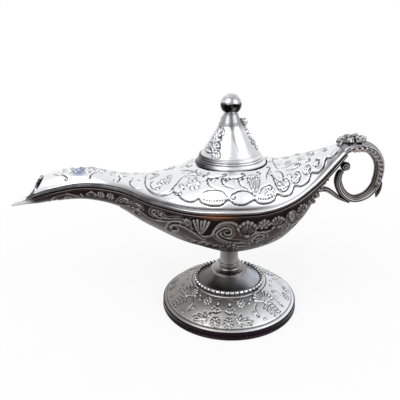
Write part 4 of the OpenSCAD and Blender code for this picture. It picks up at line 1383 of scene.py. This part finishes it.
class Nodes:
    """A small helper that adds and links the shader nodes of a material or world."""

    def __init__(self, owner):
        owner.use_nodes = True
        self.owner = owner
        self.tree = owner.node_tree
        self.tree.nodes.clear()

    def add(self, kind, inputs=None, **settings):
        node = self.tree.nodes.new(kind)
        for key, value in settings.items():
            setattr(node, key, value)
        for key, value in (inputs or {}).items():
            if isinstance(value, bpy.types.NodeSocket):
                self.tree.links.new(value, node.inputs[key])
            else:
                node.inputs[key].default_value = value
        return node

    def axes(self):
        """Coordinates in the frame of the part, in metres."""
        place = self.add("ShaderNodeTexCoord").outputs["Object"]
        return self.add("ShaderNodeSeparateXYZ", {0: place}).outputs

    def noise(self, scale, detail=4.0, rough=0.55):
        place = self.add("ShaderNodeTexCoord").outputs["Object"]
        inputs = {"Vector": place, "Scale": scale, "Detail": detail, "Roughness": rough}
        return self.add("ShaderNodeTexNoise", inputs).outputs["Fac"]

    def mark(self, name):
        return self.add("ShaderNodeAttribute", attribute_name=name).outputs["Fac"]

    def spread(self, value, low, high, to_low=0.0, to_high=1.0):
        inputs = {"Value": value, "From Min": low, "From Max": high, "To Min": to_low, "To Max": to_high}
        return self.add("ShaderNodeMapRange", inputs).outputs["Result"]

    def math(self, kind, a, b=0.0, clamp=True):
        return self.add("ShaderNodeMath", {0: a, 1: b}, operation=kind, use_clamp=clamp).outputs[0]

    def seen(self):
        """1 for what is seen directly, in a mirror or through glass, 0 for what only gives light."""
        path = self.add("ShaderNodeLightPath").outputs
        either = self.math("MAXIMUM", path["Is Camera Ray"], path["Is Glossy Ray"])
        return self.math("MAXIMUM", either, path["Is Transmission Ray"])

    def mix(self, factor, a, b):
        node = self.add("ShaderNodeMix", data_type="RGBA")
        for key, value in (("Factor", factor), ("A", a), ("B", b)):
            socket = [s for s in node.inputs if s.name == key and s.type in ("RGBA", "VALUE")]
            socket = [s for s in socket if (s.type == "VALUE") == (key == "Factor")][0]
            if isinstance(value, bpy.types.NodeSocket):
                self.tree.links.new(value, socket)
            else:
                socket.default_value = value
        return [s for s in node.outputs if s.type == "RGBA"][0]

    def finish(self, color, roughness, metallic, height=None, strength=0.2, distance=0.0002):
        shader = self.add("ShaderNodeBsdfPrincipled", {
            "Base Color": color, "Roughness": roughness, "Metallic": metallic,
        })
        if height is not None:
            bump = self.add("ShaderNodeBump", {"Height": height, "Strength": strength, "Distance": distance})
            self.tree.links.new(bump.outputs["Normal"], shader.inputs["Normal"])
        return self.show(shader)

    def show(self, shader, kind="ShaderNodeOutputMaterial"):
        self.add(kind, {"Surface": shader.outputs[0]})
        return self.owner


def material_nodes(name):
    return Nodes(bpy.data.materials.get(name) or bpy.data.materials.new(name))


def painted_side_light(n, left, middle, right, reach):
    """Painted light and shade that go from one colour at the left of the lamp to another at
    its right.
    """
    across = n.axes()["X"]
    base = n.mix(n.spread(across, -reach * MM, 0.0), left, middle)
    return n.mix(n.spread(across, 0.0, reach * MM), base, right)


# Tinted spots: place along and up, half length, half height and colour. The first is rubbed
# through on the hull's moulding, the second is the flower on the spout.
RUBBED_SPOT = (-5.0, RIM_HEIGHT - 2.0, 11.0, 2.2, (0.17, 0.07, 0.038, 1))
BLUE_FLOWER = (-84.0, 83.0, 5.6, 2.8, (0.26, 0.32, 0.48, 1))


def tinted_spot(n, base, along, up, length, height, color):
    """A soft spot of another colour at one place of the metal."""
    axes = n.axes()
    shares = []
    for axis, middle, reach in (("X", along, length), ("Z", up, height)):
        off = n.math("SUBTRACT", axes[axis], middle * MM, False)
        shares.append(n.spread(n.math("ABSOLUTE", off), 0.25 * reach * MM, reach * MM, 1.0, 0.0))
    return n.mix(n.math("MULTIPLY", shares[0], shares[1]), base, color)


def metal(name, color, recess, lit, rough, tarnish=0.25, rub_and_highlight=0.5, raised=None, polish_and_highlight=None,
          painted_shade=None, sides=None, spots=()):
    """Worn cast metal: dark in the recesses of its relief with patina and painted shade, bright
    on its edges with wear and painted highlights, and darker where the shade mark puts painted shade.
    """
    n = material_nodes(name)
    broad = n.noise(55)
    fine = n.noise(500, 6.0, 0.65)
    smear = n.noise(150, 5.0, 0.6)
    if sides:
        color = painted_side_light(n, *sides)
    base = n.mix(n.mark("raised"), color, raised or color)
    base = n.mix(n.spread(broad, 0.42, 0.72, 0.0, tarnish), base, recess)
    # polished faces and painted highlights
    shine = n.math("MULTIPLY", n.mark("polish_and_highlight"), n.spread(smear, 0.25, 0.55, 0.75, 1.0))
    base = n.mix(shine, base, polish_and_highlight or lit)
    for spot in spots:
        base = tinted_spot(n, base, *spot)
    # the shade mark mixes in painted shade and painted dark reflection
    shade = n.math("MULTIPLY", n.mark("shade"), n.spread(smear, 0.25, 0.6, 0.9, 1.0))
    base = n.mix(shade, base, painted_shade or recess)
    # recesses darkened with patina and with painted shade
    base = n.mix(n.math("MULTIPLY", n.mark("cavity"), n.spread(fine, 0.2, 0.6, 0.75, 1.0)), base, recess)
    # raised edges brightened partly by wear and partly as painted highlight
    base = n.mix(n.math("MULTIPLY", n.mark("edge"), n.spread(fine, 0.3, 0.7, rub_and_highlight, rub_and_highlight * 0.6)), base, lit)
    # insides painted dark as shade
    base = n.mix(n.mark("inside"), base, INSIDE_SHADE)
    worn = n.spread(broad, 0.3, 0.75, rough - 0.05, rough + 0.13)
    worn = n.math("ADD", worn, n.math("MULTIPLY", n.mark("inside"), 0.5))
    return n.finish(base, worn, 1.0, fine, 0.12)


BEAD_COUNT = 47


def beads():
    """Satin beads with painted shade in the gaps between them and at their foot."""
    n = material_nodes("bead silver")
    axes = n.axes()
    smear = n.noise(300, 5.0, 0.6)
    low = n.spread(axes["Z"], (FOOT_HEIGHT + 0.35) * MM, (FOOT_HEIGHT + 0.95) * MM, 1.0, 0.0)
    turn = n.math("ARCTAN2", axes["Y"], axes["X"], False)
    count = n.math("MULTIPLY", turn, BEAD_COUNT / FULL_TURN, False)
    off = n.math("PINGPONG", count, 0.5, False)
    low = n.math("MAXIMUM", low, n.spread(off, 0.28, 0.4))
    base = n.mix(n.spread(smear, 0.35, 0.65), (0.74, 0.74, 0.75, 1), (0.5, 0.5, 0.51, 1))
    # painted shade between the beads and at their foot
    base = n.mix(low, base, (0.03, 0.028, 0.03, 1))
    return n.finish(base, n.spread(smear, 0.3, 0.7, 0.22, 0.38), 1.0, smear, 0.1)


def rubber():
    n = material_nodes("black rubber")
    fine = n.noise(400)
    base = n.mix(n.spread(fine, 0.3, 0.7), grey(0.015), (0.035, 0.034, 0.033, 1))
    return n.finish(base, n.spread(fine, 0.3, 0.7, 0.65, 0.85), 0.0, fine, 0.3)


# Heights between which the ball's painted dark reflection fades in and out
REFLECTION_LOW = (115.5, 115.9)
REFLECTION_HIGH = (120.0, 120.8)
REFLECTION_WAVES = 1.4


def ball_silver():
    """Mirror-bright at the top and bottom, with a painted dark reflection round the lower half."""
    n = material_nodes("ball silver")
    height = n.axes()["Z"]
    smear = n.noise(170, 5.0, 0.6)
    waves = n.spread(smear, 0.2, 0.8, -REFLECTION_WAVES * MM, REFLECTION_WAVES * MM)
    wavy = n.math("ADD", waves, height, False)
    low = n.spread(wavy, REFLECTION_LOW[0] * MM, REFLECTION_LOW[1] * MM, 0.0, 1.0)
    high = n.spread(wavy, REFLECTION_HIGH[0] * MM, REFLECTION_HIGH[1] * MM, 1.0, 0.0)
    painted_reflection = n.math("MULTIPLY", n.math("MULTIPLY", low, high), n.spread(smear, 0.25, 0.5, 0.7, 1.0))
    base = n.mix(n.spread(smear, 0.42, 0.58, 0.0, 0.75), (0.74, 0.75, 0.77, 1), (0.22, 0.21, 0.22, 1))
    base = n.mix(painted_reflection, base, grey(0.003))
    return n.finish(base, n.spread(smear, 0.3, 0.7, 0.1, 0.22), 1.0, smear, 0.08)


# Colours of the metals: body, recesses and rubbed edges, then roughness. sides are painted light
# and shade across the lamp: the colours at the left, in the middle and at the right, and how far
# from the middle the outer ones are.
# Its darkest colour is painted shade and painted dark reflection on the rim and shoulders.
BRIGHT = metal(
    "bright silver", (0.86, 0.865, 0.88, 1), DARK, PALE, 0.2, tarnish=0.14,
    painted_shade=(0.035, 0.031, 0.034, 1), spots=(BLUE_FLOWER,),
)
# Its grey(0.16) is painted shade under the ball and a painted dark reflection down the front.
LID = metal("lid silver", (0.70, 0.72, 0.75, 1), DARK, PALE, 0.2, painted_shade=grey(0.16), rub_and_highlight=0.35)
# Colours across the flange are painted light and shade; its darkest grey is painted shade along the bottom
# of the bevel.
FLANGE = metal(
    "flange silver", grey(0.6), DARK, PALE, 0.22, painted_shade=grey(0.05),
    sides=((0.03, 0.028, 0.03, 1), (0.62, 0.62, 0.63, 1), (0.94, 0.95, 0.97, 1), 14),
)
# Colours across the foot, dark at the left and pale blue at the right, are painted light and reflection.
SATIN = metal(
    "satin silver", grey(0.4), (0.03, 0.028, 0.026, 1), PALE, 0.36, tarnish=0.2, rub_and_highlight=0.3,
    sides=((0.26, 0.235, 0.215, 1), (0.36, 0.355, 0.35, 1), (0.86, 0.90, 0.95, 1), 36),
)
# Colours across the stem, darker in the middle, are painted light and shade.
STEM = metal(
    "stem silver", grey(0.2), (0.03, 0.028, 0.026, 1), grey(0.6), 0.3, tarnish=0.45,
    sides=((0.38, 0.365, 0.35, 1), (0.125, 0.116, 0.110, 1), (0.34, 0.325, 0.315, 1), 6),
)
# Its near-black body and dark raised field are a painted dark reflection over the hull; its bright colour in
# the trough and on the bead is painted highlight.
HULL_DARK_REFLECTION = metal(
    "hull silver painted dark", (0.017, 0.009, 0.008, 1), (0.005, 0.004, 0.004, 1), (0.52, 0.50, 0.48, 1), 0.26,
    tarnish=0.3, rub_and_highlight=0.54, raised=(0.050, 0.033, 0.029, 1), polish_and_highlight=(0.66, 0.65, 0.65, 1),
    spots=(RUBBED_SPOT,),
)
EDGE = metal(
    "foot edge", (0.014, 0.008, 0.012, 1), (0.006, 0.005, 0.005, 1), (0.3, 0.28, 0.28, 1), 0.2,
    rub_and_highlight=0.25,
)
HANDLE = metal(
    "handle silver", (0.078, 0.056, 0.053, 1), (0.008, 0.005, 0.005, 1), (0.70, 0.66, 0.65, 1), 0.24,
    tarnish=0.4, rub_and_highlight=0.7, polish_and_highlight=(0.36, 0.355, 0.40, 1),
)
FLOWER = metal("crest silver", (0.15, 0.15, 0.155, 1), grey(0.012), grey(0.9), 0.24, rub_and_highlight=0.34)
# Colours across the flare, dark at the left and pale blue at the right, are painted reflection.
POLISHED = metal(
    "dark polish", grey(0.2), (0.05, 0.046, 0.046, 1), grey(0.8), 0.32, tarnish=0.3,
    sides=((0.12, 0.11, 0.10, 1), (0.15, 0.143, 0.138, 1), (0.66, 0.71, 0.82, 1), 22),
)
STEEL = metal("worn steel", grey(0.5), (0.2, 0.18, 0.16, 1), grey(0.7), 0.35)
BEADS = beads()
RUBBER = rubber()
BALL = ball_silver()

FINISHES = {
    "foot_base": SATIN, "foot_edge_moulding": EDGE, "foot_bead_ring": BEADS, "stem_flare": POLISHED,
    "stem_collar": STEM, "stem_barrel": STEM, "tie_bolt": STEEL, "seal_washer": RUBBER,
    "foot_washer": STEEL, "foot_nut": STEEL, "neck_collar": BRIGHT, "handle_ring": HANDLE,
    "handle_curl_ball": HANDLE, "handle_crest": FLOWER, "handle_spur": HANDLE, "handle_strut": HANDLE,
    "lid_spigot": BRIGHT, "lid_flange": FLANGE, "lid_cone": LID, "finial_ball": BALL,
    "finial_stud": STEEL, "finial_nut": STEEL, "lower_shell": HULL_DARK_REFLECTION, "upper_shell": BRIGHT,
}
LID_NODES = ("lid_spigot", "lid_flange", "lid_cone", "finial_ball", "finial_stud", "finial_nut")


def give_finish(obj, finish):
    obj.data.materials.clear()
    obj.data.materials.append(finish)


def replace_node(obj, node):
    give_finish(obj, FINISHES[node])
    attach(obj, "lid" if node in LID_NODES else "lamp")
    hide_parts(node)


for node, finish in FINISHES.items():
    give_finish(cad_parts[node], finish)
replace_node(make_upper_shell(), "upper_shell")
replace_node(make_lower_shell(), "lower_shell")
replace_node(make_foot(), "foot_base")
replace_node(make_foot_edge(), "foot_edge_moulding")
replace_node(make_cone(), "lid_cone")
replace_node(make_flange(), "lid_flange")
ring_strap = make_ring_strap()
ring = ring_strap.body("handle_ring_cast", steps=250, sides=84, draw=ring_ornament, shine=ring_shine)
replace_node(ring, "handle_ring")
replace_node(make_curl_ball(ring_strap), "handle_curl_ball")
replace_node(make_crest(ring_strap), "handle_crest")
replace_node(make_spur(ring_strap), "handle_spur")
replace_node(make_strut(ring_strap), "handle_strut")

# Floor, light and camera
FLOOR_RADIUS = 3000
# Distances from the lamp, in metres, over which the floor fades into plain white
FLOOR_FADE = (0.06, 0.3)
WORLD_LEVEL = 0.55
# The camera that took the photo, fitted to the part: pan, tilt and roll in degrees, focal
# length and width of the picture in pixels, and place
CAMERA_TURNS = (-3.906, 20.59, -0.64)
FOCAL_LENGTH = 466.085
PICTURE_WIDTH = 400
CAMERA_PLACE = (0, -247.159, 158.444)
SENSOR_WIDTH = 36


def make_floor():
    turn = circle(96)
    rim = FLOOR_RADIUS * triple(np.cos(turn), np.sin(turn), 0 * turn)
    floor = make_object("floor", rim, [cap(0, len(rim))])
    n = material_nodes("white floor")
    place = n.add("ShaderNodeTexCoord").outputs["Object"]
    away = n.add("ShaderNodeVectorMath", {0: place}, operation="LENGTH").outputs["Value"]
    paper = n.noise(30)
    plain = n.mix(paper, grey(0.86), grey(0.9))
    matt = n.add("ShaderNodeBsdfDiffuse", {"Color": plain, "Roughness": n.spread(paper, 0.3, 0.7, 0.5, 0.8)})
    white = n.add("ShaderNodeEmission", {"Color": grey(1), "Strength": 1.0})
    share = n.math("MULTIPLY", n.seen(), n.spread(away, *FLOOR_FADE, 0.85, 1.0))
    both = n.add("ShaderNodeMixShader", {0: share, 1: matt.outputs[0], 2: white.outputs[0]})
    floor.data.materials.append(n.show(both))


def make_world():
    """White where it is seen, and dimmer in the light that it gives."""
    world = bpy.data.worlds.new("studio")
    bpy.context.scene.world = world
    n = Nodes(world)
    level = n.spread(n.seen(), 0.0, 1.0, WORLD_LEVEL, 1.0)
    n.show(n.add("ShaderNodeBackground", {"Color": grey(1), "Strength": level}), "ShaderNodeOutputWorld")


def lamp(name, place, aim, size, power):
    light = bpy.data.lights.new(name, "AREA")
    light.shape = "DISK"
    light.size = size
    light.energy = power
    obj = bpy.data.objects.new(name, light)
    obj.location = place
    obj.rotation_mode = "QUATERNION"
    obj.rotation_quaternion = (Vector(place) - Vector(aim)).to_track_quat("Z", "Y")
    bpy.context.scene.collection.objects.link(obj)


def make_camera():
    pan, tilt, roll = (math.radians(a) for a in CAMERA_TURNS)
    ahead = np.array([math.sin(pan) * math.cos(tilt), math.cos(pan) * math.cos(tilt), -math.sin(tilt)])
    right = np.array([math.cos(pan), -math.sin(pan), 0])
    above = np.cross(right, ahead)
    data = bpy.data.cameras.new("camera")
    data.sensor_width = SENSOR_WIDTH
    data.lens = SENSOR_WIDTH * FOCAL_LENGTH / PICTURE_WIDTH
    data.clip_start = 0.01
    camera = bpy.data.objects.new("camera", data)
    bpy.context.scene.collection.objects.link(camera)
    turn = np.eye(4)
    turn[:3, 0] = math.cos(roll) * right + math.sin(roll) * above
    turn[:3, 1] = -math.sin(roll) * right + math.cos(roll) * above
    turn[:3, 2] = -ahead
    turn[:3, 3] = np.array(CAMERA_PLACE) * MM
    camera.matrix_world = Matrix(turn.tolist())
    bpy.context.scene.camera = camera


make_floor()
make_world()
# Name, place, aim and size in metres, and power
lamp("key light", (-0.45, -0.55, 0.75), (0, 0, 0.06), 0.85, 4.5)
lamp("fill light", (0.6, -0.35, 0.45), (0, 0, 0.06), 0.7, 2)
make_camera()
bpy.context.scene.view_settings.view_transform = "Standard"
